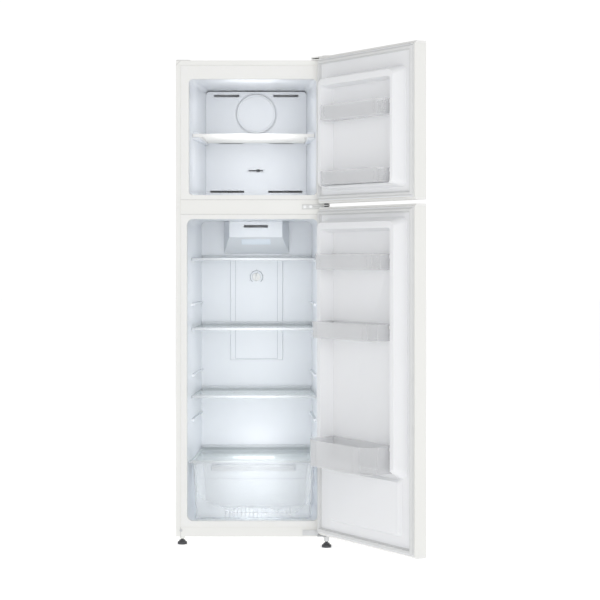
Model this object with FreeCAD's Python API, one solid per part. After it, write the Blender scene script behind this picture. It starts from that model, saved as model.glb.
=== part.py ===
import FreeCAD, Part
import math
import os

# Top freezer refrigerator with both doors standing open. Millimetres, +Z up, +Y to the back of the
# cabinet. The origin is on the floor under the middle of the cabinet's front frame.

Vector = FreeCAD.Vector
UP = Vector(0, 0, 1)

# Cabinet
WIDTH = 545.0
DEPTH = 540.0
TOP_Z = 1715.0
BASE_Z = 30.0
SHEET = 0.8
FRAME = 17.0
LINER = 1.5
GAP = 0.1
BEND = 3.0
HALF = WIDTH / 2

# Freezer compartment
FREEZER_HALF = HALF - 46.0
FREEZER_FLOOR = 1238.8
FREEZER_CEILING = TOP_Z - 65.4
FREEZER_DEPTH = DEPTH - 70.0
FREEZER_DRAFT = 40.1
FREEZER_CORNER = 14.0
PANEL_Y = FREEZER_DEPTH - 60.0
PANEL = 2.5

# Fridge compartment
FRIDGE_HALF = HALF - 39.7
FRIDGE_FLOOR = 84.5
MULLION = 84.9
FRIDGE_CEILING = FREEZER_FLOOR - MULLION
FRIDGE_DEPTH = DEPTH - 90.0
FRIDGE_DRAFT = 22.0
FRIDGE_CORNER = 22.0
RAIL_TOP = FRIDGE_FLOOR - 20.9
COVER_BOTTOM = FRIDGE_CEILING + 16.7
COVER_TOP = FREEZER_FLOOR - 16.8

# Compressor compartment and the step over it
COMP_HIGH = 145.0
STEP_Y = FRIDGE_DEPTH - 125.0
STEP_Z = 270.0
STEP_FOAM = 40.0
STEP_ROOF = COMP_HIGH + 77.0

# Doors
DOOR_THICK = 48.0
DOOR_GAP = 12.0
DOOR_SKIN = 0.8
DOOR_EDGE = 4.0
DOOR_OPEN = 124.5
CAP = 7.5
PIVOT_X = HALF - 12.0
PIVOT_Y = -DOOR_GAP - 27.0
PIN_R = 4.0
PIN_FIT = 0.05
PIN_DEPTH = 18.0
DOOR_GAP_Z = 13.5
FREEZER_DOOR_Z = FREEZER_FLOOR - 31.3
FREEZER_DOOR_TOP = TOP_Z + 7.0
FRIDGE_DOOR_Z = BASE_Z + 14.0
FRIDGE_DOOR_TOP = FREEZER_DOOR_Z - DOOR_GAP_Z
DYKE = 45.0
DYKE_FOOT_CLEAR = 1.3
DYKE_TOP_CLEAR = 16.0
DYKE_CORNER = 34.0
BAY_HALF = HALF - 90.0
GASKET_INSET = 5.0
GASKET_WIDTH = 16.0
GASKET_BULB = 10.0
SEAL_GAP = 0.4
SEAT = 0.3

# Shelves and drawers
SHELF_GLASS = 4.0
SHELF_TRIM = 9.0
SHELF_SIDE_GAP = 2.0
SHELF_FRONT_Y = 120.0
SHELF_TOPS = {"upper": 1016.0, "middle": 763.0, "lower": 518.0}
SPARE_RIBS = [850.0, 593.0, 431.0]
RIB_REACH = 9.0
RIB_HIGH = 8.0
CRISPER_COVER_TOP = STEP_Z + 23.0
CRISPER_COVER_Y = 40.0
CRISPER_COVER_GAP = 5.5
CRISPER_Y = 50.0
CRISPER_TOP = CRISPER_COVER_TOP - 10.5
CRISPER_WALL = 2.2

# Running gear
ROLLER_R = 14.0
ROLLER_WIDE = 20.0
AXLE_R = 3.0
FOOT_R = 17.0
STUD_R = 5.0

os.makedirs("parts", exist_ok=True)


def box(x0, x1, y0, y1, z0, z1):
    return Part.makeBox(x1 - x0, y1 - y0, z1 - z0, Vector(x0, y0, z0))


def cylinder(radius, start, end):
    axis = Vector(*end) - Vector(*start)
    return Part.makeCylinder(radius, axis.Length, Vector(*start), axis)


def prism(points, z0, z1):
    """A flat outline of (x, y) points, raised from z0 to z1."""
    corners = [Vector(x, y, z0) for x, y in points]
    face = Part.Face(Part.makePolygon(corners + corners[:1]))
    return face.extrude(Vector(0, 0, z1 - z0))


def mirrored(shape):
    return shape.mirror(Vector(0, 0, 0), Vector(1, 0, 0))


def both_sides(shape):
    return [shape, mirrored(shape)]


def rounded_wire(half, z0, z1, radius, y):
    """A rectangle with round corners, upright in the plane at y."""
    x0, x1 = -half, half
    s = radius * (1 - math.sqrt(0.5))
    edges = []
    line_ends = [
        ((x0 + radius, z0), (x1 - radius, z0)),
        ((x1, z0 + radius), (x1, z1 - radius)),
        ((x1 - radius, z1), (x0 + radius, z1)),
        ((x0, z1 - radius), (x0, z0 + radius)),
    ]
    middles = [(x1 - s, z0 + s), (x1 - s, z1 - s), (x0 + s, z1 - s), (x0 + s, z0 + s)]
    for i, (start, end) in enumerate(line_ends):
        following = line_ends[(i + 1) % 4][0]
        edges.append(Part.LineSegment(Vector(start[0], y, start[1]), Vector(end[0], y, end[1])).toShape())
        corner = Part.Arc(
            Vector(end[0], y, end[1]),
            Vector(middles[i][0], y, middles[i][1]),
            Vector(following[0], y, following[1]),
        )
        edges.append(corner.toShape())
    return Part.Wire(edges)


def tapered(front, back):
    """A solid between two rounded rectangles, each given as (half, z0, z1, radius, y)."""
    return Part.makeLoft([rounded_wire(*front), rounded_wire(*back)], True, True)


def round_edges(shape, radius, chosen):
    """Round the straight edges whose middle point and direction satisfy the given test."""
    picked = []
    for edge in shape.Edges:
        middle = edge.CenterOfMass
        if chosen(middle, edge.tangentAt(edge.FirstParameter)):
            picked.append(edge)
    return shape.makeFillet(radius, picked)


def union(shapes):
    whole = shapes[0]
    for shape in shapes[1:]:
        whole = whole.fuse(shape)
    return whole.removeSplitter()


def cut_all(shape, tools):
    return shape.cut(Part.makeCompound(tools))


def write(name, shapes):
    """Write one sub-part; a list is a group of separate solids."""
    group = shapes if isinstance(shapes, list) else [shapes]
    solids = [solid for shape in group for solid in shape.Solids]
    whole = solids[0] if len(solids) == 1 else Part.makeCompound(solids)
    whole.exportStep("parts/" + name + ".step")


def freezer_wall(y):
    return FREEZER_HALF - FREEZER_DRAFT * y / FREEZER_DEPTH


def fridge_wall(y):
    return FRIDGE_HALF - FRIDGE_DRAFT * y / FRIDGE_DEPTH


# Screws that hold the hinges: (x, y, z) under the head, and the way the screw goes in
HEAD_R = 5.0
HEAD_HIGH = 3.2
SHANK_R = 2.4
SHANK_LONG = 12.0
HINGE_STEEL = 2.5
MID_PLATE = 4.0
MID_SCREW_Z = FREEZER_DOOR_Z - 10.5
BOTTOM_SCREW_Z = FRIDGE_DOOR_Z + 1.0
TOP_SCREWS = [(PIVOT_X - dx, y, TOP_Z + HINGE_STEEL) for dx, y in [(38.5, 62), (8.5, 62), (23.5, 28)]]
FRONT_SCREWS = [(PIVOT_X - dx, -MID_PLATE, MID_SCREW_Z) for dx in (76.5, 55.5)]
FRONT_SCREWS += [(PIVOT_X - dx, -MID_PLATE, BOTTOM_SCREW_Z) for dx in (72.5, 38.5)]
RAIL_SCREW = (18.5 - HALF, 0, BASE_Z + 22.0)


def screw(head, inward):
    start = Vector(*head)
    turned = Part.makeCylinder(HEAD_R, HEAD_HIGH, start, inward * -1)
    shank = Part.makeCylinder(SHANK_R, SHANK_LONG, start, inward)
    recess = Part.makeBox(1.2, 6, 1.6, Vector(-0.6, -3, HEAD_HIGH - 1.5))
    cross = recess.fuse(recess.rotated(Vector(0, 0, 0), UP, 90))
    turn = FreeCAD.Rotation(UP, inward * -1)
    cross.Placement = FreeCAD.Placement(start, turn)
    return turned.fuse(shank).cut(cross)


def screw_holes():
    holes = []
    for head in TOP_SCREWS:
        below = Vector(0, 0, -SHANK_LONG - 0.3)
        holes.append(Part.makeCylinder(SHANK_R + GAP, SHANK_LONG + 0.8, Vector(*head) + below, UP))
    for head in FRONT_SCREWS + [RAIL_SCREW]:
        ahead = Vector(0, -0.5, 0)
        holes.append(Part.makeCylinder(SHANK_R + GAP, SHANK_LONG + 0.8, Vector(*head) + ahead, Vector(0, 1, 0)))
    return holes


HOLES = screw_holes()
screws = [screw(head, Vector(0, 0, -1)) for head in TOP_SCREWS]
screws += [screw(head, Vector(0, 1, 0)) for head in FRONT_SCREWS + [RAIL_SCREW]]
write("hinge_screws", screws)

# Levelling foot under the left front corner; the right one stands under the bottom hinge
LEFT_FOOT = (21.5 - HALF, 24.0)
FOOT_DISC = 9.0
NUT_R = 9.0
NUT_BOTTOM = BASE_Z - 10.0
LEFT_STUD_TOP = BASE_Z + 16.0
WELL = 8.0

# Outer shell: one sheet folded over the sides and the top, with a flange round the front
outer = box(-HALF, HALF, 0, DEPTH - SHEET, BASE_Z, TOP_Z)
outer = round_edges(outer, BEND, lambda m, t: abs(t.y) > 0.9 and m.z > TOP_Z - 1)
outer = round_edges(outer, BEND / 2, lambda m, t: m.y < 0.01 and m.z > BASE_Z + 1)
inner = box(-HALF + SHEET, HALF - SHEET, SHEET, DEPTH, BASE_Z - 1, TOP_Z - SHEET)
inner = round_edges(inner, BEND - SHEET, lambda m, t: abs(t.y) > 0.9 and m.z > TOP_Z - 2)
opening = box(-HALF + FRAME, HALF - FRAME, -1, SHEET + 1, BASE_Z - 1, TOP_Z - FRAME)
shell = cut_all(outer, [inner, opening] + HOLES)
write("outer_shell", shell)

# Rear panel: closes the back above the compressor compartment, with two pressed beads
rear = box(-HALF, HALF, DEPTH - SHEET, DEPTH, STEP_ROOF, TOP_Z)
rear = round_edges(rear, BEND, lambda m, t: abs(t.y) > 0.9 and m.z > TOP_Z - 1)
BEAD_X = 150.0
BEAD_WIDE = 24.0
BEAD_HIGH = 3.0
for x in (-BEAD_X, BEAD_X):
    bead = box(x - BEAD_WIDE / 2, x + BEAD_WIDE / 2, DEPTH, DEPTH + BEAD_HIGH, STEP_ROOF + 80, TOP_Z - 80)
    hollow = box(x - BEAD_WIDE / 2 + SHEET, x + BEAD_WIDE / 2 - SHEET, DEPTH - SHEET, DEPTH + BEAD_HIGH - SHEET,
                 STEP_ROOF + 80 + SHEET, TOP_Z - 80 - SHEET)
    rear = rear.fuse(bead).cut(hollow)
write("rear_panel", rear)

# Refrigerant lines: the condenser loops against the right side, and the suction line runs up the back
INSIDE = HALF - SHEET - GAP
CONDENSER_R = 2.4
CONDENSER_X = INSIDE - CONDENSER_R - GAP
CONDENSER_PITCH = 60.0
CONDENSER_BEND = 28.0
CONDENSER_YS = [90.0 + i * CONDENSER_PITCH for i in range(6)]
CONDENSER_LOW = STEP_ROOF + 78.0
CONDENSER_HIGH = TOP_Z - 115.0
SUCTION_R = 3.0
SUCTION_X = FREEZER_HALF - 50.5
SUCTION_Y = DEPTH - 35.0
EVAP_Z = FREEZER_FLOOR + 37.2

# Bottom deck: floor sheet with the front rail turned up, and the step over the compressor
RISER_Y = STEP_Y + LINER + STEP_FOAM
DECK = 1.0
deck = union([
    box(-HALF + FRAME + 0.2, HALF - FRAME - 0.2, 0, SHEET, BASE_Z, RAIL_TOP),
    box(-INSIDE, INSIDE, SHEET, RISER_Y + DECK, BASE_Z, BASE_Z + DECK),
    box(-INSIDE, INSIDE, RISER_Y, RISER_Y + DECK, BASE_Z, STEP_ROOF + DECK),
    box(-INSIDE, INSIDE, RISER_Y, DEPTH - SHEET - GAP, STEP_ROOF, STEP_ROOF + DECK),
])
stud_hole = cylinder(STUD_R + PIN_FIT, (*LEFT_FOOT, NUT_BOTTOM - 1), (*LEFT_FOOT, LEFT_STUD_TOP))
weld_nut = cylinder(NUT_R, (*LEFT_FOOT, NUT_BOTTOM), (*LEFT_FOOT, BASE_Z))
notch = CONDENSER_R + GAP
line_holes = [
    box(CONDENSER_X - notch, INSIDE + 1, CONDENSER_YS[-1] - notch, CONDENSER_YS[-1] + notch,
        STEP_ROOF - 1, STEP_ROOF + DECK + 1),
    cylinder(SUCTION_R + GAP, (SUCTION_X, SUCTION_Y, STEP_ROOF - 1), (SUCTION_X, SUCTION_Y, STEP_ROOF + DECK + 1)),
]
deck = cut_all(union([deck, weld_nut]), HOLES + [stud_hole] + line_holes)
write("bottom_deck", deck)

# Insulation: foam that fills the walls, one block for each wall so that every block is convex
FACE_Y = LINER + GAP
BACK_Y = DEPTH - SHEET - GAP
SKIN = LINER + GAP


def side_foam(wall, depth, z0, z1, y_end=BACK_Y):
    near = wall(0) + SKIN
    slope_y = min(depth + SKIN, y_end)
    far = wall(slope_y - SKIN) + SKIN
    outline = [(INSIDE, FACE_Y), (near, FACE_Y), (far, slope_y)]
    if y_end > slope_y:
        outline.append((far, y_end))
    outline.append((INSIDE, y_end))
    return prism(outline, z0, z1)


RISER_FRONT = RISER_Y - GAP
roof_z = STEP_ROOF + DECK + GAP
duct_hole = box(-45, 45, PANEL_Y + 8, PANEL_Y + 34, FRIDGE_CEILING - 10, FREEZER_FLOOR + 10)
top_foam = box(-INSIDE, INSIDE, FACE_Y, BACK_Y, FREEZER_CEILING + SKIN, TOP_Z - SHEET - GAP)
top_foam = round_edges(top_foam, BEND, lambda m, t: abs(t.y) > 0.9 and m.z > TOP_Z - 2)
mullion_foam = box(-INSIDE, INSIDE, FACE_Y, BACK_Y, FRIDGE_CEILING + SKIN, FREEZER_FLOOR - SKIN)
freezer_back = freezer_wall(FREEZER_DEPTH) + LINER
fridge_back = fridge_wall(FRIDGE_DEPTH) + LINER
GROOVE = 6.0
side_blocks = [
    *both_sides(side_foam(freezer_wall, FREEZER_DEPTH, FREEZER_FLOOR - SKIN, FREEZER_CEILING + SKIN)),
    *both_sides(side_foam(fridge_wall, FRIDGE_DEPTH, roof_z, FRIDGE_CEILING + SKIN)),
    *both_sides(side_foam(fridge_wall, FRIDGE_DEPTH, FRIDGE_FLOOR - SKIN, roof_z, RISER_FRONT)),
]
groove_runs = [
    box(CONDENSER_X - GROOVE / 2, INSIDE + 1, y - GROOVE / 2, y + GROOVE / 2, CONDENSER_LOW, CONDENSER_HIGH)
    for y in CONDENSER_YS
]
for level in (CONDENSER_LOW, CONDENSER_HIGH):
    groove_runs.append(
        box(CONDENSER_X - GROOVE / 2, INSIDE + 1, CONDENSER_YS[0] - GROOVE / 2, CONDENSER_YS[-1] + GROOVE / 2,
            level - 40, level + 40)
    )
groove_runs.append(
    box(CONDENSER_X - GROOVE / 2, INSIDE + 1, CONDENSER_YS[-1] - GROOVE / 2, CONDENSER_YS[-1] + GROOVE / 2,
        STEP_ROOF, CONDENSER_LOW)
)
grooves = Part.makeCompound(groove_runs)
suction_way = box(SUCTION_X - 5, SUCTION_X + 5, SUCTION_Y - 5, SUCTION_Y + 5, STEP_ROOF - 1, EVAP_Z + 5)
suction_inlet = box(SUCTION_X - 5, SUCTION_X + 5, FREEZER_DEPTH - 2, SUCTION_Y + 5, EVAP_Z - 14, EVAP_Z + 5)
well = cylinder(STUD_R + WELL, (*LEFT_FOOT, BASE_Z), (*LEFT_FOOT, LEFT_STUD_TOP + WELL))
riser_half = fridge_wall(RISER_FRONT) + LINER
floor_foam = box(-INSIDE, INSIDE, FACE_Y, RISER_FRONT, BASE_Z + DECK + GAP, FRIDGE_FLOOR - SKIN)
blocks = side_blocks + [
    top_foam,
    mullion_foam.cut(duct_hole),
    floor_foam.cut(well),
    box(-freezer_back, freezer_back, FREEZER_DEPTH + SKIN, BACK_Y, FREEZER_FLOOR - SKIN, FREEZER_CEILING + SKIN),
    box(-fridge_back, fridge_back, FRIDGE_DEPTH + SKIN, BACK_Y, STEP_Z - SKIN, FRIDGE_CEILING + SKIN),
    box(-fridge_back, fridge_back, STEP_Y + SKIN, BACK_Y, roof_z, STEP_Z - SKIN),
    box(-riser_half, riser_half, STEP_Y + SKIN, RISER_FRONT, FRIDGE_FLOOR - SKIN, roof_z),
]
ways = HOLES + [grooves, suction_way, suction_inlet]
write("insulation_foam", [cut_all(block, ways) for block in blocks])

# Liners: vacuum-formed plastic boxes with a flange round the mouth and ribs that carry the shelves


def rib(wall, reach, y0, y1, top, high):
    """A rib on the right wall: the wall's own slope outside, reach(y) mm inside it."""
    outline = [(wall(y0) + LINER / 2, y0), (wall(y1) + LINER / 2, y1)]
    outline += [(wall(y1) - reach(y1), y1), (wall(y0) - reach(y0), y0)]
    return prism(outline, top - high, top)


FREEZER_SHELF_Y = 70.0
FREEZER_SHELF_LONG = PANEL_Y - FREEZER_SHELF_Y - 10.0
FREEZER_SHELF_TOP = 1460.0
FREEZER_SHELF_THICK = 10.5
FREEZER_SHELF_FRONT_HALF = FREEZER_HALF - 23.0
FREEZER_SHELF_BACK_HALF = FREEZER_HALF - 37.5
FREEZER_RIB_LAP = 8.0


def freezer_shelf_half(y):
    share = (y - FREEZER_SHELF_Y) / FREEZER_SHELF_LONG
    return FREEZER_SHELF_FRONT_HALF + (FREEZER_SHELF_BACK_HALF - FREEZER_SHELF_FRONT_HALF) * share


def freezer_rib_reach(y):
    return freezer_wall(y) - freezer_shelf_half(y) + FREEZER_RIB_LAP


def liner(half, z0, z1, depth, draft, corner, flange, cuts):
    walls = tapered((half + LINER, z0 - LINER, z1 + LINER, corner + LINER, 0),
                    (half - draft + LINER, z0 - LINER, z1 + LINER, corner + LINER, depth + LINER))
    room = tapered((half + draft / depth, z0, z1, corner, -1), (half - draft, z0, z1, corner, depth))
    if cuts:
        walls = walls.cut(cuts[0])
        room = room.cut(cuts[1])
    x, low, high = flange
    plate = box(-x, x, 0, LINER, low, high)
    return walls.fuse(plate).cut(room)


FLANGE_X = HALF - FRAME - 0.2
freezer_liner = liner(FREEZER_HALF, FREEZER_FLOOR, FREEZER_CEILING, FREEZER_DEPTH, FREEZER_DRAFT,
                      FREEZER_CORNER, (FLANGE_X, COVER_TOP + 0.2, TOP_Z - FRAME - 0.2), None)
freezer_ribs = []
shelf_bottom = FREEZER_SHELF_TOP - FREEZER_SHELF_THICK
for top in (shelf_bottom - SEAT, FREEZER_SHELF_TOP + SEAT + RIB_HIGH):
    freezer_ribs += both_sides(rib(freezer_wall, freezer_rib_reach, FREEZER_SHELF_Y + 12,
                                   FREEZER_SHELF_Y + FREEZER_SHELF_LONG, top, RIB_HIGH))
freezer_liner = union([freezer_liner] + freezer_ribs)
suction_pass = cylinder(SUCTION_R + GAP, (SUCTION_X, FREEZER_DEPTH - 2, EVAP_Z),
                        (SUCTION_X, FREEZER_DEPTH + 3, EVAP_Z))
write("freezer_liner", freezer_liner.cut(duct_hole).cut(suction_pass))

step_outer = box(-HALF, HALF, STEP_Y + LINER, DEPTH, 0, STEP_Z - LINER)
step_inner = box(-HALF, HALF, STEP_Y, DEPTH, 0, STEP_Z)
fridge_liner = liner(FRIDGE_HALF, FRIDGE_FLOOR, FRIDGE_CEILING, FRIDGE_DEPTH, FRIDGE_DRAFT, FRIDGE_CORNER,
                     (FLANGE_X, RAIL_TOP + 0.2, COVER_BOTTOM - 0.2), (step_outer, step_inner))
RIB_BACK = FRIDGE_DEPTH - 18.0
TRIM_DEEP = 18.0


def shelf_rib_top(shelf_top):
    return shelf_top - 1 - SHELF_GLASS - SEAT


fridge_ribs = []
for top in [shelf_rib_top(z) for z in SHELF_TOPS.values()] + SPARE_RIBS:
    fridge_ribs += both_sides(rib(fridge_wall, lambda y: RIB_REACH, SHELF_FRONT_Y + TRIM_DEEP + 1, RIB_BACK,
                                  top, RIB_HIGH))
fridge_ribs += both_sides(rib(fridge_wall, lambda y: RIB_REACH, CRISPER_COVER_Y + TRIM_DEEP + 1, RIB_BACK,
                              shelf_rib_top(CRISPER_COVER_TOP), RIB_HIGH / 2))
write("fridge_liner", union([fridge_liner] + fridge_ribs).cut(duct_hole))

# Mullion cover: a plain strip between the two liners
cover = box(-FLANGE_X, FLANGE_X, 0, LINER, COVER_BOTTOM, COVER_TOP)
write("mullion_cover", cut_all(cover, HOLES))

# Caps on the hinge holes that stay unused on the left side
CAP_LONG = 50.0
cap_pad = box(-HALF + 1, -HALF + 1 + CAP_LONG, 3, 90, TOP_Z, TOP_Z + 3.5)
cap_pad = round_edges(cap_pad, 2.5, lambda m, t: m.z > TOP_Z + 3)
plug_places = [(8.5 - HALF, MID_SCREW_Z - 9), (8.5 - HALF, MID_SCREW_Z + 9)]
plugs = [cylinder(4.0, (x, -1.4, z), (x, 0, z)) for x, z in plug_places]
write("hinge_hole_caps", [cap_pad] + plugs)

# Hinges
ARM_R = 12.0
ARM_Z = FREEZER_DOOR_TOP + SEAT + 0.1
BORE = PIN_R + 0.02


def ear(z0, z1, x0=PIVOT_X - ARM_R, y1=0.0):
    """A flat arm that reaches forward to the pivot and ends round."""
    arm = box(x0, PIVOT_X + ARM_R, PIVOT_Y, y1, z0, z1)
    return arm.fuse(cylinder(ARM_R, (PIVOT_X, PIVOT_Y, z0), (PIVOT_X, PIVOT_Y, z1)))


def pivot_hole(radius, z0, z1):
    return cylinder(radius, (PIVOT_X, PIVOT_Y, z0), (PIVOT_X, PIVOT_Y, z1))


TOP_ARM = ARM_Z + HINGE_STEEL
RISER_AT = 12.0
plate_x = (PIVOT_X - 50.5, PIVOT_X + 3.5)
riser_back = RISER_AT + HINGE_STEEL
top_bracket = union([
    box(*plate_x, RISER_AT, 76, TOP_Z, TOP_Z + HINGE_STEEL),
    box(PIVOT_X - ARM_R, plate_x[1], RISER_AT, riser_back, TOP_Z, TOP_ARM),
    prism([(PIVOT_X - ARM_R, riser_back), (plate_x[1], riser_back), (plate_x[1] + 4, 0),
           (PIVOT_X + ARM_R, PIVOT_Y), (PIVOT_X - ARM_R, PIVOT_Y)], ARM_Z, TOP_ARM),
    pivot_hole(ARM_R, ARM_Z, TOP_ARM),
])
top_bracket = cut_all(top_bracket, HOLES + [pivot_hole(BORE, ARM_Z - 1, TOP_ARM + 1)])
write("top_hinge_bracket", top_bracket)

COVER_WALL = 1.5
COVER_X = (PIVOT_X - 52.5, HALF - 1.5)


def hinge_cover(grow, foot):
    """The cover's outline raised to its top; grow is the wall, foot how far its rim stands off."""
    x0, x1 = COVER_X[0] - grow, COVER_X[1] + grow
    top = COVER_Z - COVER_WALL + grow
    back = box(x0, x1, 3 - grow, 84 + grow, TOP_Z + foot, top)
    nose_z = FREEZER_DOOR_TOP + foot
    nose = prism([(x0, 3), (x1, 3), (PIVOT_X + ARM_R + 0.3, PIVOT_Y), (PIVOT_X - ARM_R - 0.3 - grow, PIVOT_Y)],
                 nose_z, top)
    tip = cylinder(ARM_R + 0.3 + grow, (PIVOT_X, PIVOT_Y, nose_z), (PIVOT_X, PIVOT_Y, top))
    return back.fuse(nose).fuse(tip)


HEAD_ROOM = 0.8
COVER_Z = TOP_ARM + HEAD_ROOM + COVER_WALL
top_cover = hinge_cover(COVER_WALL - 0.3, SEAT).cut(hinge_cover(0, -1))
write("top_hinge_cover", top_cover)

MID_ARM = 4.5
MID_ARM_Z = FRIDGE_DOOR_TOP + MID_ARM
MID_ARM_TOP = MID_ARM_Z + MID_ARM
mid_bracket = union([
    box(PIVOT_X - 86.5, PIVOT_X + 2.5, -MID_PLATE, 0, FRIDGE_DOOR_TOP - 5, FREEZER_DOOR_Z - 2.5),
    box(PIVOT_X - 46.5, PIVOT_X + 2.5, -14, -MID_PLATE, MID_ARM_Z, MID_ARM_TOP),
    ear(MID_ARM_Z, MID_ARM_TOP, y1=-MID_PLATE),
])
mid_bracket = cut_all(mid_bracket, HOLES + [pivot_hole(BORE, MID_ARM_Z - 1, MID_ARM_TOP + 1)])
write("middle_hinge_bracket", mid_bracket)

LOW_ARM_TOP = FRIDGE_DOOR_Z - 5.0
LOW_ARM_Z = LOW_ARM_TOP - MID_ARM
HINGE_NUT_Z = LOW_ARM_Z - 13.5
low_bracket = union([
    box(PIVOT_X - 84.5, HALF - 1, -MID_PLATE, 0, LOW_ARM_Z, FRIDGE_DOOR_Z + 9),
    ear(LOW_ARM_Z, LOW_ARM_TOP, x0=PIVOT_X - 32.5, y1=-MID_PLATE),
    pivot_hole(NUT_R, HINGE_NUT_Z, LOW_ARM_Z),
])
low_bracket = cut_all(low_bracket, HOLES + [
    pivot_hole(BORE, LOW_ARM_Z, LOW_ARM_TOP + 1),
    pivot_hole(STUD_R + PIN_FIT, HINGE_NUT_Z - 1, LOW_ARM_Z),
])
write("bottom_hinge_bracket", low_bracket)

# Hinge pins, each with the washer that spaces the door from its bracket
WASHER_R = 8.0
top_pin = pivot_hole(PIN_R, FREEZER_DOOR_TOP - PIN_DEPTH, TOP_ARM)
mid_pin = union([
    pivot_hole(PIN_R, FRIDGE_DOOR_TOP - PIN_DEPTH, FREEZER_DOOR_Z + PIN_DEPTH),
    pivot_hole(WASHER_R, MID_ARM_TOP, FREEZER_DOOR_Z - SEAT),
    pivot_hole(WASHER_R, FRIDGE_DOOR_TOP + SEAT, MID_ARM_Z),
])
low_pin = union([
    pivot_hole(PIN_R, LOW_ARM_Z, FRIDGE_DOOR_Z + PIN_DEPTH),
    pivot_hole(WASHER_R, LOW_ARM_TOP, FRIDGE_DOOR_Z - SEAT),
])
write("hinge_pins", [top_pin, mid_pin, low_pin])

# Feet: a disc with a hexagon above it and a threaded stud that turns in the weld nut
HEX_R = 11.0
HEX_TOP = 15.0


def foot(x, y, stud_top):
    disc = cylinder(FOOT_R, (x, y, 0), (x, y, FOOT_DISC))
    disc = disc.makeFillet(2.0, [e for e in disc.Edges if e.Length > 100 and e.CenterOfMass.z > 1])
    corners = [(x + HEX_R * math.cos(math.radians(60 * i)), y + HEX_R * math.sin(math.radians(60 * i)))
               for i in range(6)]
    return union([disc, prism(corners, FOOT_DISC, HEX_TOP), cylinder(STUD_R, (x, y, HEX_TOP), (x, y, stud_top))])


write("front_left_foot", foot(*LEFT_FOOT, LEFT_STUD_TOP))
write("front_right_foot", foot(PIVOT_X, PIVOT_Y, LOW_ARM_Z - 0.5))

# Compressor base plate with ears for the rear rollers
PLATE_Z = BASE_Z + 3.0
PLATE = 2.0
PLATE_Y = RISER_Y + DECK + 1.0
PLATE_END = DEPTH - 8.0
ROLLER_X = HALF - 36.5
ROLLER_Y = DEPTH - 40.0
EAR_THICK = 2.0
EAR_GAP = 0.6
ear_in = ROLLER_X - ROLLER_WIDE / 2 - EAR_GAP
ear_out = ROLLER_X + ROLLER_WIDE / 2 + EAR_GAP
plate_parts = [
    box(-INSIDE, INSIDE, PLATE_Y, PLATE_END, PLATE_Z, PLATE_Z + PLATE),
    box(-INSIDE, INSIDE, PLATE_END - PLATE, PLATE_END, PLATE_Z, PLATE_Z + 14),
    box(-INSIDE, INSIDE, PLATE_Y, PLATE_Y + PLATE, PLATE_Z, PLATE_Z + 14),
]
for x in (ear_in - EAR_THICK, ear_out):
    ear_plate = box(x, x + EAR_THICK, ROLLER_Y - 10, ROLLER_Y + 10, ROLLER_R - 6, PLATE_Z)
    plate_parts += both_sides(ear_plate)
AXLE_END = ear_out + EAR_THICK + 2
axle_start = (ear_in - EAR_THICK - 2, ROLLER_Y, ROLLER_R)
axle = cylinder(AXLE_R, axle_start, (AXLE_END, ROLLER_Y, ROLLER_R))
axle_head = cylinder(AXLE_R + 2, (AXLE_END, ROLLER_Y, ROLLER_R), (AXLE_END + 2, ROLLER_Y, ROLLER_R))
axle_way = cylinder(AXLE_R + 0.02, (ear_in - 9, ROLLER_Y, ROLLER_R), (AXLE_END + 1, ROLLER_Y, ROLLER_R))
base_plate = cut_all(union(plate_parts), both_sides(axle_way))
write("compressor_base", base_plate)
write("roller_axles", both_sides(axle.fuse(axle_head)))
roller = cylinder(ROLLER_R, (ROLLER_X - ROLLER_WIDE / 2, ROLLER_Y, ROLLER_R),
                  (ROLLER_X + ROLLER_WIDE / 2, ROLLER_Y, ROLLER_R))
roller = roller.makeFillet(1.5, [e for e in roller.Edges if e.Length > 80])
roller = roller.cut(cylinder(AXLE_R + PIN_FIT, (ROLLER_X - 11, ROLLER_Y, ROLLER_R),
                             (ROLLER_X + 11, ROLLER_Y, ROLLER_R)))
write("rear_roller_right", roller)
write("rear_roller_left", mirrored(roller))

# Compressor: a welded steel shell on four rubber grommets, with its terminal box
COMP_X = 110.0
COMP_Y = DEPTH - 84.0
COMP_R = 70.0
GROMMET_HIGH = 14.0
COMP_Z = PLATE_Z + PLATE + GROMMET_HIGH
COMP_FOOT = 3.0
body = cylinder(COMP_R, (COMP_X, COMP_Y, COMP_Z + 4), (COMP_X, COMP_Y, COMP_Z + COMP_HIGH))
rims = [e for e in body.Edges if e.Length > 300]
middle_z = COMP_Z + COMP_HIGH / 2
body = body.makeFillet(32.0, [e for e in rims if e.CenterOfMass.z > middle_z])
body = body.makeFillet(18.0, [e for e in body.Edges if e.Length > 400 and e.CenterOfMass.z < COMP_Z + 10])
seam = cylinder(COMP_R + 2.5, (COMP_X, COMP_Y, COMP_Z + 62), (COMP_X, COMP_Y, COMP_Z + 70))
sole = box(COMP_X - 96, COMP_X + 96, COMP_Y - 55, COMP_Y + 55, COMP_Z, COMP_Z + COMP_FOOT)
sole = round_edges(sole, 12.0, lambda m, t: abs(t.z) > 0.9)
neck = cylinder(48.0, (COMP_X, COMP_Y, COMP_Z), (COMP_X, COMP_Y, COMP_Z + 10))
GROMMETS = [(COMP_X + dx, COMP_Y + dy) for dx in (-82, 82) for dy in (-40, 40)]
grommet_waists = [cylinder(5.0, (x, y, COMP_Z - 1), (x, y, COMP_Z + 5)) for x, y in GROMMETS]
compressor = cut_all(union([body, seam, sole, neck]), grommet_waists)
relay = box(COMP_X - COMP_R - 28, COMP_X - COMP_R + 2, COMP_Y - 24, COMP_Y + 24, COMP_Z + 40, COMP_Z + 110)
relay = round_edges(relay, 5.0, lambda m, t: m.x < COMP_X - COMP_R - 27)
relay_seat = cylinder(COMP_R + 2.6, (COMP_X, COMP_Y, COMP_Z), (COMP_X, COMP_Y, COMP_Z + COMP_HIGH))
write("compressor", [compressor, relay.cut(relay_seat)])

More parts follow.
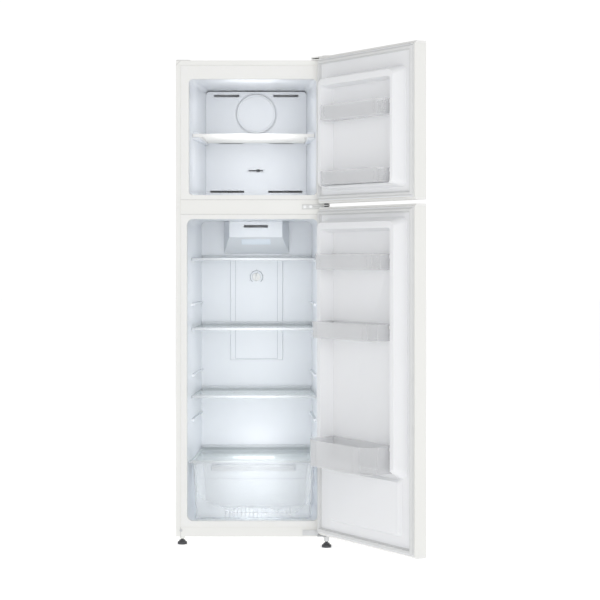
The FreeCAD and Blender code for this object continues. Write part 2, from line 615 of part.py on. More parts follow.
grommets = []
for x, y in GROMMETS:
    rubber = union([
        cylinder(11.0, (x, y, PLATE_Z + PLATE), (x, y, COMP_Z)),
        cylinder(4.95, (x, y, COMP_Z), (x, y, COMP_Z + 6)),
        cylinder(8.0, (x, y, COMP_Z + COMP_FOOT), (x, y, COMP_Z + COMP_FOOT + 4)),
    ])
    grommets.append(rubber)
write("compressor_grommets", grommets)

# Drain pan beside the compressor, standing on the base plate
PAN_X = 57.5 - HALF
PAN_LONG = 190.0
PAN_Y = PLATE_Y + PLATE + 4
PAN_DEEP = 130.0
PAN_HIGH = 42.0
pan_z = PLATE_Z + PLATE
pan = box(PAN_X, PAN_X + PAN_LONG, PAN_Y, PAN_Y + PAN_DEEP, pan_z, pan_z + PAN_HIGH)
pan = round_edges(pan, 10.0, lambda m, t: abs(t.z) > 0.9)
pan_room = box(PAN_X + 2, PAN_X + PAN_LONG - 2, PAN_Y + 2, PAN_Y + PAN_DEEP - 2, pan_z + 2, pan_z + PAN_HIGH + 1)
pan_room = round_edges(pan_room, 8.0, lambda m, t: abs(t.z) > 0.9)
write("drain_pan", pan.cut(pan_room))


def tube(points, radius, bend):
    """A tube along straight runs joined by round bends."""
    corners = [Vector(*p) for p in points]
    edges = []
    start = corners[0]
    for before, here, after in zip(corners, corners[1:], corners[2:]):
        to_back = (before - here).normalize()
        to_front = (after - here).normalize()
        half_turn = to_back.getAngle(to_front) / 2
        leg = bend / math.tan(half_turn)
        first = here + to_back * leg
        last = here + to_front * leg
        centre = here + (to_back + to_front).normalize() * (bend / math.sin(half_turn))
        middle = centre + (here - centre).normalize() * bend
        if (first - start).Length > 1e-6:
            edges.append(Part.LineSegment(start, first).toShape())
        edges.append(Part.Arc(first, middle, last).toShape())
        start = last
    edges.append(Part.LineSegment(start, corners[-1]).toShape())
    path = Part.Wire(edges)
    circle = Part.Wire(Part.makeCircle(radius, corners[0], corners[1] - corners[0]))
    return path.makePipeShell([circle], True, False)


condenser_route = []
for i, y in enumerate(CONDENSER_YS):
    ends = [CONDENSER_LOW, CONDENSER_HIGH] if i % 2 == 0 else [CONDENSER_HIGH, CONDENSER_LOW]
    condenser_route += [(CONDENSER_X, y, z) for z in ends]
INLET_Z = COMP_Z + 103.0
condenser_route[-1] = (CONDENSER_X, CONDENSER_YS[-1], INLET_Z)
condenser_route += [(CONDENSER_X, COMP_Y, INLET_Z), (COMP_X + COMP_R, COMP_Y, INLET_Z)]
condenser = tube(condenser_route, CONDENSER_R, CONDENSER_BEND)
EVAP_Y = PANEL_Y + 32.0
EVAP_R = 4.0
top_of_shell = COMP_Z + COMP_HIGH
suction = tube([(COMP_X, COMP_Y, top_of_shell), (COMP_X, COMP_Y, top_of_shell + 15),
                (SUCTION_X, SUCTION_Y, top_of_shell + 15), (SUCTION_X, SUCTION_Y, EVAP_Z),
                (SUCTION_X, EVAP_Y + EVAP_R + GAP, EVAP_Z)], SUCTION_R, 9.0)
write("refrigerant_tubing", [condenser, suction])

# Evaporator behind the freezer's back cover: one tube bent to and fro through aluminium fins
EVAP_PASSES = 6
EVAP_PITCH = 30.0
EVAP_HALF = SUCTION_X - 28.0
FIN_PITCH = 14.0
evap_route = [(SUCTION_X + 6, EVAP_Y, EVAP_Z)]
for i in range(EVAP_PASSES):
    z = EVAP_Z + i * EVAP_PITCH
    side = -1 if i % 2 == 0 else 1
    if i:
        evap_route.append((-side * (EVAP_HALF + EVAP_PITCH / 2), EVAP_Y, z))
    evap_route.append((side * (EVAP_HALF + EVAP_PITCH / 2), EVAP_Y, z))
evap_route[-1] = (EVAP_HALF, EVAP_Y, EVAP_Z + (EVAP_PASSES - 1) * EVAP_PITCH)
evap_tube = tube(evap_route, EVAP_R, EVAP_PITCH / 2 - 1)
fin = box(-0.3, 0.3, EVAP_Y - 20, EVAP_Y + 22, EVAP_Z - 12, EVAP_Z + (EVAP_PASSES - 1) * EVAP_PITCH + 14)
fin = cut_all(fin, [cylinder(EVAP_R + 0.05, (-1, EVAP_Y, EVAP_Z + i * EVAP_PITCH),
                             (1, EVAP_Y, EVAP_Z + i * EVAP_PITCH)) for i in range(EVAP_PASSES)])
fin_count = int(2 * (EVAP_HALF - 10) / FIN_PITCH)
fins = [fin.translated(Vector((i - fin_count / 2) * FIN_PITCH, 0, 0)) for i in range(fin_count + 1)]
write("evaporator", [evap_tube] + fins)
HEATER_Z = FREEZER_FLOOR + 12.0
HEATER_HALF = EVAP_HALF + 20.0
heater = tube([(-HEATER_HALF, EVAP_Y - 10, HEATER_Z), (HEATER_HALF, EVAP_Y - 10, HEATER_Z),
               (HEATER_HALF, EVAP_Y + 14, HEATER_Z), (-HEATER_HALF, EVAP_Y + 14, HEATER_Z)], EVAP_R, 11.0)
heater_feet = [box(x - 4, x + 4, EVAP_Y - 14, EVAP_Y + 18, FREEZER_FLOOR, HEATER_Z - 2) for x in (-120, 120)]
write("defrost_heater", union([heater] + heater_feet))

# Evaporator cover: the freezer's back wall, with its air slots and the mouth of the fan
PANEL_GAP = 0.5
FAN_Z = FREEZER_CEILING - 88.6
FAN_RING_R = 78.5
FAN_DISC_R = 73.5
FAN_MOUTH_R = 62.0
panel = tapered((freezer_wall(PANEL_Y) - PANEL_GAP, FREEZER_FLOOR + PANEL_GAP, FREEZER_CEILING - 4,
                 FREEZER_CORNER, PANEL_Y),
                (freezer_wall(PANEL_Y + PANEL) - PANEL_GAP, FREEZER_FLOOR + PANEL_GAP, FREEZER_CEILING - 4,
                 FREEZER_CORNER, PANEL_Y + PANEL))
SLOTS = [(65, 160, FREEZER_CEILING - 20, 9), (50, 140, FREEZER_SHELF_TOP - 5, 14), (46, 175, FREEZER_FLOOR + 27, 8)]
openings = []
for x0, x1, z, high in SLOTS:
    openings += both_sides(box(x0, x1, PANEL_Y - 5, PANEL_Y + 5, z - high / 2, z + high / 2))
ring = cylinder(FAN_RING_R, (0, PANEL_Y - 3, FAN_Z), (0, PANEL_Y, FAN_Z))
ring = ring.cut(cylinder(FAN_RING_R - 3, (0, PANEL_Y - 4, FAN_Z), (0, PANEL_Y, FAN_Z)))
mouth = cylinder(FAN_MOUTH_R, (0, PANEL_Y - 1, FAN_Z), (0, PANEL_Y + 5, FAN_Z))
SLIDE_Z = FREEZER_FLOOR + 106.7
BEZEL_X = (-33.0, 30.0)
BEZEL_HALF = 6.5
bezel = box(*BEZEL_X, PANEL_Y - 3, PANEL_Y, SLIDE_Z - BEZEL_HALF, SLIDE_Z + BEZEL_HALF)
slide_slot = box(BEZEL_X[0] + 4, BEZEL_X[1] - 4, PANEL_Y - 5, PANEL_Y + 5, SLIDE_Z - 2.5, SLIDE_Z + 2.5)
panel = cut_all(union([panel, ring, bezel]), openings + [mouth, slide_slot])
write("evaporator_cover", panel)

# Round fan cover, held off the panel by three posts so that air passes round its rim
POST_R = 68.0
disc = cylinder(FAN_DISC_R, (0, PANEL_Y - 8, FAN_Z), (0, PANEL_Y - 5, FAN_Z))
disc = disc.makeFillet(1.5, [e for e in disc.Edges if e.Length > 400 and e.CenterOfMass.y < PANEL_Y - 7])
posts = []
for angle in (90, 210, 330):
    x = POST_R * math.cos(math.radians(angle))
    z = FAN_Z + POST_R * math.sin(math.radians(angle))
    posts.append(cylinder(3.0, (x, PANEL_Y - 5, z), (x, PANEL_Y, z)))
write("fan_cover_disc", union([disc] + posts))

# Fan motor on a cross bar behind the panel, and the blade that turns on its shaft
MOTOR_Y = PANEL_Y + 30.0
SHAFT_R = 2.0
SHAFT_TIP = PANEL_Y + 6.0
bar = box(-75, 75, MOTOR_Y + 16, MOTOR_Y + 19, FAN_Z - 12, FAN_Z + 12)
legs = both_sides(box(69, 75, PANEL_Y + PANEL, MOTOR_Y + 19, FAN_Z - 8, FAN_Z + 8))
motor = union([cylinder(26.0, (0, MOTOR_Y, FAN_Z), (0, MOTOR_Y + 16, FAN_Z)), bar, *legs,
               cylinder(SHAFT_R, (0, SHAFT_TIP, FAN_Z), (0, MOTOR_Y, FAN_Z))])
write("fan_motor", motor)
HUB_R = 14.0
hub = cylinder(HUB_R, (0, SHAFT_TIP + 2, FAN_Z), (0, MOTOR_Y - 4, FAN_Z))
vanes = []
for i in range(5):
    vane = box(HUB_R - 2, 55, -0.8, 0.8, -12, 12)
    vane.rotate(Vector(0, 0, 0), Vector(1, 0, 0), 50)
    vane.rotate(Vector(0, 0, 0), Vector(0, 1, 0), 72 * i)
    vane.translate(Vector(0, (SHAFT_TIP + MOTOR_Y) / 2 - 1, FAN_Z))
    vanes.append(vane)
blade = union([hub] + vanes)
blade = blade.cut(cylinder(SHAFT_R + PIN_FIT, (0, SHAFT_TIP, FAN_Z), (0, MOTOR_Y, FAN_Z)))
write("fan_blade", blade)

# Air slider in its bezel
SLIDER = (1.5, 13.5)
slider = union([
    box(*SLIDER, PANEL_Y - 9, PANEL_Y - 3.3, SLIDE_Z - 4.5, SLIDE_Z + 4.5),
    box(*SLIDER, PANEL_Y - 3.3, PANEL_Y + PANEL + 0.3, SLIDE_Z - 2.2, SLIDE_Z + 2.2),
    box(*SLIDER, PANEL_Y + PANEL + 0.3, PANEL_Y + PANEL + 2.3, SLIDE_Z - 4.5, SLIDE_Z + 4.5),
])
write("air_slider", slider)

# Freezer shelf: one moulded plate with a raised front band
shelf_front = FREEZER_SHELF_Y
shelf_back = FREEZER_SHELF_Y + FREEZER_SHELF_LONG
plate_low = FREEZER_SHELF_TOP - FREEZER_SHELF_THICK
tray = prism([(freezer_shelf_half(shelf_front), shelf_front), (freezer_shelf_half(shelf_back), shelf_back),
              (-freezer_shelf_half(shelf_back), shelf_back), (-freezer_shelf_half(shelf_front), shelf_front)],
             plate_low, FREEZER_SHELF_TOP)
sunk = prism([(freezer_shelf_half(shelf_front) - 8, shelf_front + 8),
              (freezer_shelf_half(shelf_back) - 8, shelf_back - 8),
              (8 - freezer_shelf_half(shelf_back), shelf_back - 8),
              (8 - freezer_shelf_half(shelf_front), shelf_front + 8)], plate_low, plate_low + 6.5)
write("freezer_shelf", tray.cut(sunk))

# Lamp and air duct housing under the fridge ceiling, its lens, and the duct panel below it
HOUSING_Y = FRIDGE_DEPTH - 90.0
HOUSING_HALF = (100.0, 124.0)
HOUSING_LOW = (FRIDGE_CEILING - 60.9, FRIDGE_CEILING - 121.9)
HOUSING_WALL = 2.0
LENS = (110.0, 34.0)


def wedge(inset, y_back):
    """The housing's outer shape, with every wall moved in by inset."""
    sections = []
    for y, half, low in ((HOUSING_Y + inset, HOUSING_HALF[0], HOUSING_LOW[0]),
                         (y_back, HOUSING_HALF[1], HOUSING_LOW[1])):
        x = half - inset
        z0, z1 = low + inset, FRIDGE_CEILING - 0.5 + inset
        corners = [Vector(-x, y, z0), Vector(x, y, z0), Vector(x, y, z1), Vector(-x, y, z1)]
        sections.append(Part.makePolygon(corners + corners[:1]))
    return Part.makeLoft(sections, True, True)


BACK_WALL_Y = FRIDGE_DEPTH - 0.5
slope = math.atan2(HOUSING_LOW[0] - HOUSING_LOW[1], BACK_WALL_Y - HOUSING_Y)
lens_plate = box(-LENS[0] / 2, LENS[0] / 2, 14, 14 + LENS[1], -0.6, 1.2)
lens_hole = box(-LENS[0] / 2 - 0.3, LENS[0] / 2 + 0.3, 13.7, 14.3 + LENS[1], -9, 9)
for piece in (lens_plate, lens_hole):
    piece.rotate(Vector(0, 0, 0), Vector(1, 0, 0), -math.degrees(slope))
    piece.translate(Vector(0, HOUSING_Y, HOUSING_LOW[0]))
outlet_z = FRIDGE_CEILING - 19.9
outlet = box(-45, 45, HOUSING_Y - 5, HOUSING_Y + 5, outlet_z - 5, outlet_z + 5)
housing = cut_all(wedge(0, BACK_WALL_Y).cut(wedge(HOUSING_WALL, BACK_WALL_Y + 1)), [lens_hole, outlet])
write("duct_housing", housing)
write("lamp_lens", lens_plate)
DUCT_PANEL = (100.0, 625.0, HOUSING_LOW[1] - 1.0)
DUCT_THICK = 5.5
DIAL_Z = SHELF_TOPS["upper"] - 74.0
KNOB_R = 15.0
KNOB_DEEP = 14.0
KNOB_SHAFT_R = 3.0
duct_front = BACK_WALL_Y - DUCT_THICK
duct_panel = box(-DUCT_PANEL[0], DUCT_PANEL[0], duct_front, BACK_WALL_Y, DUCT_PANEL[1], DUCT_PANEL[2])
duct_panel = round_edges(duct_panel, 3.0, lambda m, t: m.y < duct_front + 0.1)
CHANNEL_HALF = 60.0
channel = box(-CHANNEL_HALF, CHANNEL_HALF, duct_front + 2, FRIDGE_DEPTH, DUCT_PANEL[1] + 6, DIAL_Z - 30)
VENT_ZS = [DUCT_PANEL[1] + 75, DIAL_Z - 72]
VENT_HIGH = 12.0
vents = [vent for z in VENT_ZS for vent in both_sides(
    box(CHANNEL_HALF - 5, DUCT_PANEL[0] + 1, duct_front + 2, FRIDGE_DEPTH, z - VENT_HIGH / 2, z + VENT_HIGH / 2))]
shaft_hole = cylinder(KNOB_SHAFT_R + PIN_FIT, (0, duct_front - 1, DIAL_Z), (0, duct_front + 4, DIAL_Z))
write("duct_panel", cut_all(duct_panel, [channel, shaft_hole] + vents))
knob = cylinder(KNOB_R, (0, duct_front - 0.4 - KNOB_DEEP / 2, DIAL_Z), (0, duct_front - 0.4, DIAL_Z))
grip = box(-3, 3, duct_front - 0.4 - KNOB_DEEP, duct_front - 0.4 - KNOB_DEEP / 2, DIAL_Z - 14, DIAL_Z + 14)
shaft = cylinder(KNOB_SHAFT_R, (0, duct_front - 1, DIAL_Z), (0, duct_front + 3.5, DIAL_Z))
write("thermostat_knob", union([knob, grip, shaft]))

# Glass shelves: a glass plate with a plastic trim along its front and back edges


def glass_shelf(name, top, front_y, side_gap):
    def half(y):
        return fridge_wall(y) - side_gap

    def strip(y0, y1, z0, z1, inset=0.0):
        return prism([(half(y0) - inset, y0), (half(y1) - inset, y1), (inset - half(y1), y1),
                      (inset - half(y0), y0)], z0, z1)

    glass_top = top - 1
    glass = strip(front_y + 3, RIB_BACK + 8, glass_top - SHELF_GLASS, glass_top)
    front = strip(front_y, front_y + TRIM_DEEP, top - SHELF_TRIM, top)
    front = round_edges(front, 2.0, lambda m, t: m.y < front_y + 0.1 and abs(t.x) > 0.9)
    back = strip(RIB_BACK + 1, RIB_BACK + 10, glass_top - SHELF_GLASS, top)
    upstand = strip(RIB_BACK + 7.5, RIB_BACK + 10, top, top + SHELF_TRIM)
    under_lip = strip(RIB_BACK + 1, RIB_BACK + 10, top - SHELF_TRIM + 1, glass_top - SHELF_GLASS, RIB_REACH)
    write(name + "_glass", glass)
    write(name + "_trim", [front.cut(glass), union([back, upstand, under_lip]).cut(glass)])


for name, top in SHELF_TOPS.items():
    glass_shelf(name + "_shelf", top, SHELF_FRONT_Y, SHELF_SIDE_GAP)
glass_shelf("crisper_cover", CRISPER_COVER_TOP, CRISPER_COVER_Y, CRISPER_COVER_GAP)

# Crisper drawer: an open box that follows the slope of the liner's walls, with a grip along its front
CRISPER_LEAN = 14.0
CRISPER_SIDE = RIB_REACH + 3.4
CRISPER_FLOOR = FRIDGE_FLOOR + 0.4
CRISPER_BACK = STEP_Y - 3.0


def crisper_shape(inset, z0):
    sections = []
    for z, lean in ((z0, CRISPER_LEAN), (CRISPER_TOP + (1 if inset else 0), 0.0)):
        y0, y1 = CRISPER_Y + inset, CRISPER_BACK - inset
        x0 = fridge_wall(CRISPER_Y) - CRISPER_SIDE - lean - inset
        x1 = fridge_wall(CRISPER_BACK) - CRISPER_SIDE - lean - inset
        corners = [Vector(-x0, y0, z), Vector(x0, y0, z), Vector(x1, y1, z), Vector(-x1, y1, z)]
        sections.append(Part.makePolygon(corners + corners[:1]))
    return Part.makeLoft(sections, True, True)


drawer = crisper_shape(0, CRISPER_FLOOR)
drawer = round_edges(drawer, 12.0, lambda m, t: abs(t.z) > 0.9 and m.y < CRISPER_Y + 1)
drawer_room = crisper_shape(CRISPER_WALL, CRISPER_FLOOR + CRISPER_WALL)
drawer_room = round_edges(drawer_room, 12.0 - CRISPER_WALL, lambda m, t: abs(t.z) > 0.9 and m.y < CRISPER_Y + 5)
lip = box(-150, 150, CRISPER_Y - 12, CRISPER_Y + 0.5, CRISPER_TOP - 26, CRISPER_TOP - 4)
lip = lip.cut(box(-147, 147, CRISPER_Y - 9.5, CRISPER_Y, CRISPER_TOP - 27, CRISPER_TOP - 6.5))
drawer = union([drawer.cut(drawer_room), lip])
write("crisper_drawer", drawer)

# Doors, built closed and then turned open about the hinge axis
INNER_Y = -DOOR_GAP
OUTER_Y = INNER_Y - DOOR_THICK


def opened(shape):
    turned = shape.copy()
    turned.rotate(Vector(PIVOT_X, PIVOT_Y, 0), UP, DOOR_OPEN)
    return turned


def door_box(inset, y1, z0, z1):
    plain = box(-HALF + inset, HALF - inset, OUTER_Y + inset, y1, z0, z1)
    return round_edges(plain, DOOR_EDGE - inset, lambda m, t: abs(t.z) > 0.9 and m.y < OUTER_Y + inset + 1)


def dyke_frustum(foot, crown, z_foot, z_crown, radius, grow, high, base_y):
    """A raised rectangle of the door's lining, from its foot to its crown, grown outwards by grow."""
    return tapered((foot + grow, z_foot[0] - grow, z_foot[1] + grow, radius + grow, base_y),
                   (crown + grow, z_crown[0] - grow, z_crown[1] + grow, radius * 0.6 + grow, INNER_Y + high))


BAY_SPREAD = 14.0


def bay_wall(p):
    """Half the width between the dykes, p mm in front of the lining."""
    return BAY_HALF + BAY_SPREAD * p / DYKE


LUG = (8.0, 32.0)
LUG_REACH = 6.0
LUG_HIGH = 12.0
BIN_LEDGE = 3.0
BIN_WALL = 2.0
BIN_BACK = 3.0


def lug(ledge_z):
    p0, p1 = LUG
    outline = [(BAY_HALF - LUG_REACH, INNER_Y + p0), (BAY_HALF - LUG_REACH, INNER_Y + p1),
               (bay_wall(p1) + 0.7, INNER_Y + p1), (bay_wall(p0) + 0.7, INNER_Y + p0)]
    top = ledge_z - SEAT
    return both_sides(prism(outline, top - LUG_HIGH, top))


def write_bin(name, z0, z1, deep, corner):
    """A bin that hangs by a ledge on two lugs of the lining; deep is measured from the lining."""
    half = BAY_HALF - LUG_REACH - 0.5
    y0, y1 = INNER_Y + BIN_BACK, INNER_Y + deep
    outside = box(-half, half, y0, y1, z0, z1)
    outside = round_edges(outside, corner, lambda m, t: abs(t.z) > 0.9 and m.y > y1 - 1)
    inside = box(-half + BIN_WALL, half - BIN_WALL, y0 + BIN_WALL, y1 - BIN_WALL, z0 + BIN_WALL, z1 + 1)
    inside = round_edges(inside, corner - BIN_WALL, lambda m, t: abs(t.z) > 0.9 and m.y > y1 - BIN_WALL - 1)
    p0, p1 = LUG[0] - 2, LUG[1] + 2
    outline = [(half - 1, INNER_Y + p0), (half - 1, INNER_Y + p1), (bay_wall(p1) - 0.5, INNER_Y + p1),
               (bay_wall(p0) - 0.5, INNER_Y + p0)]
    ledges = both_sides(prism(outline, z1 - BIN_LEDGE, z1))
    write(name, opened(union([outside.cut(inside)] + ledges)))


def frame_of(half, z0, z1, width, y0, y1):
    whole = box(-half, half, y0, y1, z0, z1)
    return whole.cut(box(-half + width, half - width, y0 - 1, y1 + 1, z0 + width, z1 - width))


def write_door(name, z0, z1, opening_half, dyke_foot, dyke_crown, bay, sill, extra, bins):
    low, high = z0 + CAP, z1 - CAP
    skin = door_box(0, INNER_Y, low, high).cut(door_box(DOOR_SKIN, INNER_Y - DOOR_SKIN, low - 1, high + 1))
    skin = skin.cut(box(-HALF + GASKET_INSET, HALF - GASKET_INSET, INNER_Y - 2, INNER_Y + 1, low - 1, high + 1))
    write(name + "_skin", opened(skin))

    boss_r = PIN_R + 6
    boss_deep = PIN_DEPTH + 6
    caps = []
    bosses = []
    for edge, inward in ((z0, 1), (z1, -1)):
        inner_edge = edge + inward * CAP
        cap = door_box(0, INNER_Y, min(edge, inner_edge), max(edge, inner_edge))
        bevel = [e for e in cap.Edges if abs(e.CenterOfMass.z - edge) < 0.01 and e.CenterOfMass.y > INNER_Y - 0.1]
        cap = cap.makeChamfer(CAP - 0.5, bevel)
        boss_end = edge + inward * boss_deep
        bore_start, bore_end = edge - inward, edge + inward * (PIN_DEPTH + 2)
        boss = pivot_hole(boss_r, *sorted((inner_edge, boss_end)))
        cap = cap.fuse(boss).cut(pivot_hole(PIN_R + PIN_FIT, *sorted((bore_start, bore_end))))
        bosses.append(pivot_hole(boss_r + GAP, *sorted((inner_edge, boss_end + inward * GAP))))
        caps.append(opened(cap))
    write(name + "_end_caps", caps)

    def raised(grow, high_by, base_y):
        crown = DYKE + high_by
        outer_foot = opening_half - DYKE_FOOT_CLEAR
        outer_crown = opening_half - DYKE_TOP_CLEAR
        solid = dyke_frustum(outer_foot, outer_crown, dyke_foot, dyke_crown, DYKE_CORNER, grow, crown, base_y)
        hollow = dyke_frustum(BAY_HALF, bay_wall(DYKE), bay[0], bay[1], 12.0, -grow, DYKE + 1, INNER_Y - 0.01)
        solid = solid.cut(hollow)
        if sill:
            sill_half = BAY_HALF - grow
            solid = solid.cut(box(-sill_half, sill_half, INNER_Y + sill + high_by, 99, z0, bay[0][0] + 4))
        return solid

    ridge = raised(0, 0, INNER_Y - 0.5)
    core = raised(-LINER, -LINER, INNER_Y - LINER)
    sheet = box(-HALF + GASKET_INSET + 0.3, HALF - GASKET_INSET - 0.3, INNER_Y - LINER, INNER_Y, low, high)
    pads = [tapered((half, a, b, 10.0, INNER_Y - 0.5), (half - 9, a + 9, b - 9, 6.0, INNER_Y + up))
            for half, a, b, up in extra]
    cores = [tapered((half - LINER, a + LINER, b - LINER, 9.0, INNER_Y - LINER),
                     (half - 9 - LINER, a + 9 + LINER, b - 9 - LINER, 5.0, INNER_Y + up - LINER))
             for half, a, b, up in extra]
    lining = union([sheet, ridge] + pads).cut(Part.makeCompound([core] + cores))
    lining = union([lining] + [side for size in bins.values() for side in lug(size[1] - BIN_LEDGE)])
    write(name + "_liner", opened(lining))

    slab = door_box(DOOR_SKIN + GAP, INNER_Y - LINER - GAP, low + GAP, high - GAP)
    slab = slab.cut(Part.makeCompound(bosses))
    write(name + "_foam", [opened(piece) for piece in [slab, core] + cores])

    seal_half = HALF - GASKET_INSET
    bulb_in = (GASKET_WIDTH - GASKET_BULB) / 2
    seal = frame_of(seal_half, low + GASKET_INSET, high - GASKET_INSET, GASKET_WIDTH, INNER_Y, INNER_Y + 3)
    bulb = frame_of(seal_half - bulb_in - 1, low + GASKET_INSET + bulb_in, high - GASKET_INSET - bulb_in,
                    GASKET_BULB, INNER_Y + 3, -SEAL_GAP)
    write(name + "_gasket", opened(union([seal, bulb])))


SILL = 22.0
DYKE_END = 295.0
LOW_PAD = (HALF - 68.5, 104.0, DYKE_END - 2.0, 12.0)
# Each bin's bottom, top, reach from the lining, and corner radius
FREEZER_BINS = {
    "freezer_upper_bin": (1488.0, 1540.0, 68.0, 24.0),
    "freezer_lower_bin": (FREEZER_FLOOR + 29.2, FREEZER_FLOOR + 75.2, 68.0, 24.0),
}
FRIDGE_BINS = {
    "fridge_upper_bin": (978.0, 1031.0, 93.0, 30.0),
    "fridge_middle_bin": (745.0, 800.0, 108.0, 34.0),
    "bottle_bin": (310.0, 400.0, 130.0, 60.0),
}
write_door("freezer_door", FREEZER_DOOR_Z, FREEZER_DOOR_TOP, FREEZER_HALF,
           (FREEZER_FLOOR + 10.2, FREEZER_CEILING - DYKE_FOOT_CLEAR),
           (FREEZER_FLOOR + 25.2, FREEZER_CEILING - DYKE_TOP_CLEAR),
           ((FREEZER_FLOOR + 27.7, FREEZER_CEILING - 43.6), (FREEZER_FLOOR + 25.7, FREEZER_CEILING - 37.6)),
           SILL, [], FREEZER_BINS)
write_door("fridge_door", FRIDGE_DOOR_Z, FRIDGE_DOOR_TOP, FRIDGE_HALF,
           (DYKE_END, FRIDGE_CEILING - DYKE_FOOT_CLEAR),
           (DYKE_END + 27.0, FRIDGE_CEILING - DYKE_TOP_CLEAR),
           ((DYKE_END - 45.0, FRIDGE_CEILING - 47.9), (DYKE_END - 45.0, FRIDGE_CEILING - 37.9)),
           0.0, [LOW_PAD], FRIDGE_BINS)
for door_bins in (FREEZER_BINS, FRIDGE_BINS):
    for bin_name, size in door_bins.items():
        write_bin(bin_name, *size)
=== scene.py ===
import math
import bmesh
import bpy
from mathutils import Matrix, Vector


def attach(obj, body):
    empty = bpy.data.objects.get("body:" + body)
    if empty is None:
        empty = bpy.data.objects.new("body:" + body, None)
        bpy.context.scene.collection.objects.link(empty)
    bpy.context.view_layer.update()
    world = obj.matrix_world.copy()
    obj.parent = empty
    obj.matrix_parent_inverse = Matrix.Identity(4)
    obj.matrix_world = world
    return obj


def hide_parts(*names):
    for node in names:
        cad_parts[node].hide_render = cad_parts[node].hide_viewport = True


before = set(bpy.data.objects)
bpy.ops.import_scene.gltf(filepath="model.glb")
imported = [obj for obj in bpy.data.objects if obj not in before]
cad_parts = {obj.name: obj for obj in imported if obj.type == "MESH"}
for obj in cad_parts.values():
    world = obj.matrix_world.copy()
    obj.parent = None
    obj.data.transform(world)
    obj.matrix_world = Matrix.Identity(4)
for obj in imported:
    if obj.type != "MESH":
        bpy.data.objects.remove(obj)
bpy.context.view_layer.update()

bpy.ops.object.select_all(action="DESELECT")

# Studio: a pale floor under a plain white sky, a broad soft light in front and a weaker one
# behind. The refrigerator stands on the floor at z = 0, with its front frame in the plane y = 0.
bpy.ops.mesh.primitive_plane_add(size=60, location=(0, 0, 0))
floor = bpy.context.object
floor.name = "studio_floor"
floor_paper = bpy.data.materials.new("floor paper")
floor_paper.use_nodes = True
paper = floor_paper.node_tree.nodes["Principled BSDF"]
paper.inputs["Base Color"].default_value = (0.86, 0.86, 0.86, 1)
paper.inputs["Roughness"].default_value = 0.9
paper.inputs["Specular IOR Level"].default_value = 0.1
paper.inputs["Emission Color"].default_value = (1, 1, 1, 1)
paper.inputs["Emission Strength"].default_value = 0.48
floor.data.materials.append(floor_paper)

world = bpy.data.worlds.new("studio sky")
bpy.context.scene.world = world
world.use_nodes = True
sky = world.node_tree.nodes["Background"]
sky.inputs["Color"].default_value = (1, 1, 1, 1)
sky_path = world.node_tree.nodes.new("ShaderNodeLightPath")
sky_level = world.node_tree.nodes.new("ShaderNodeMapRange")
sky_level.inputs["To Min"].default_value = 0.62
sky_level.inputs["To Max"].default_value = 1.05
world.node_tree.links.new(sky_path.outputs["Is Camera Ray"], sky_level.inputs["Value"])
world.node_tree.links.new(sky_level.outputs["Result"], sky.inputs["Strength"])
bpy.context.scene.view_settings.view_transform = "Standard"


def soft_box(name, place, target, size, power, colour=(1, 1, 1)):
    """A square studio light that faces the target."""
    bpy.ops.object.light_add(type="AREA", location=place)
    lamp = bpy.context.object
    lamp.name = name
    lamp.rotation_mode = "QUATERNION"
    lamp.rotation_quaternion = (Vector(target) - Vector(place)).to_track_quat("-Z", "Y")
    lamp.data.size = size
    lamp.data.energy = power
    lamp.data.color = colour
    lamp.visible_camera = False
    return lamp


soft_box("front_light", (0.9, -5.0, 1.7), (0, 0.2, 0.9), 2.0, 40)
soft_box("back_light", (-1.6, 4.0, 2.4), (0, 0.5, 0.9), 2.5, 24)

CAMERA_PLACE = (0.182, -5.64, 1.035)
bpy.ops.object.camera_add(location=CAMERA_PLACE, rotation=(math.radians(90), 0, 0))
camera = bpy.context.object
camera.data.sensor_width = 36
camera.data.lens = 95.6
camera.data.shift_x = -0.007
camera.data.shift_y = -0.079
bpy.context.scene.camera = camera

# Outer shell: one sheet of prepainted steel folded over the sides and the top, with a flange round
# the front. The paint is baked on and has a very fine orange peel; the flange is mitred at the corners.


def tone(red, green, blue):
    """A colour as a paint card gives it, 0 to 255, in the light values that the shader takes."""
    card = [value / 255 for value in (red, green, blue)]
    return tuple(v / 12.92 if v <= 0.04045 else ((v + 0.055) / 1.055) ** 2.4 for v in card) + (1,)


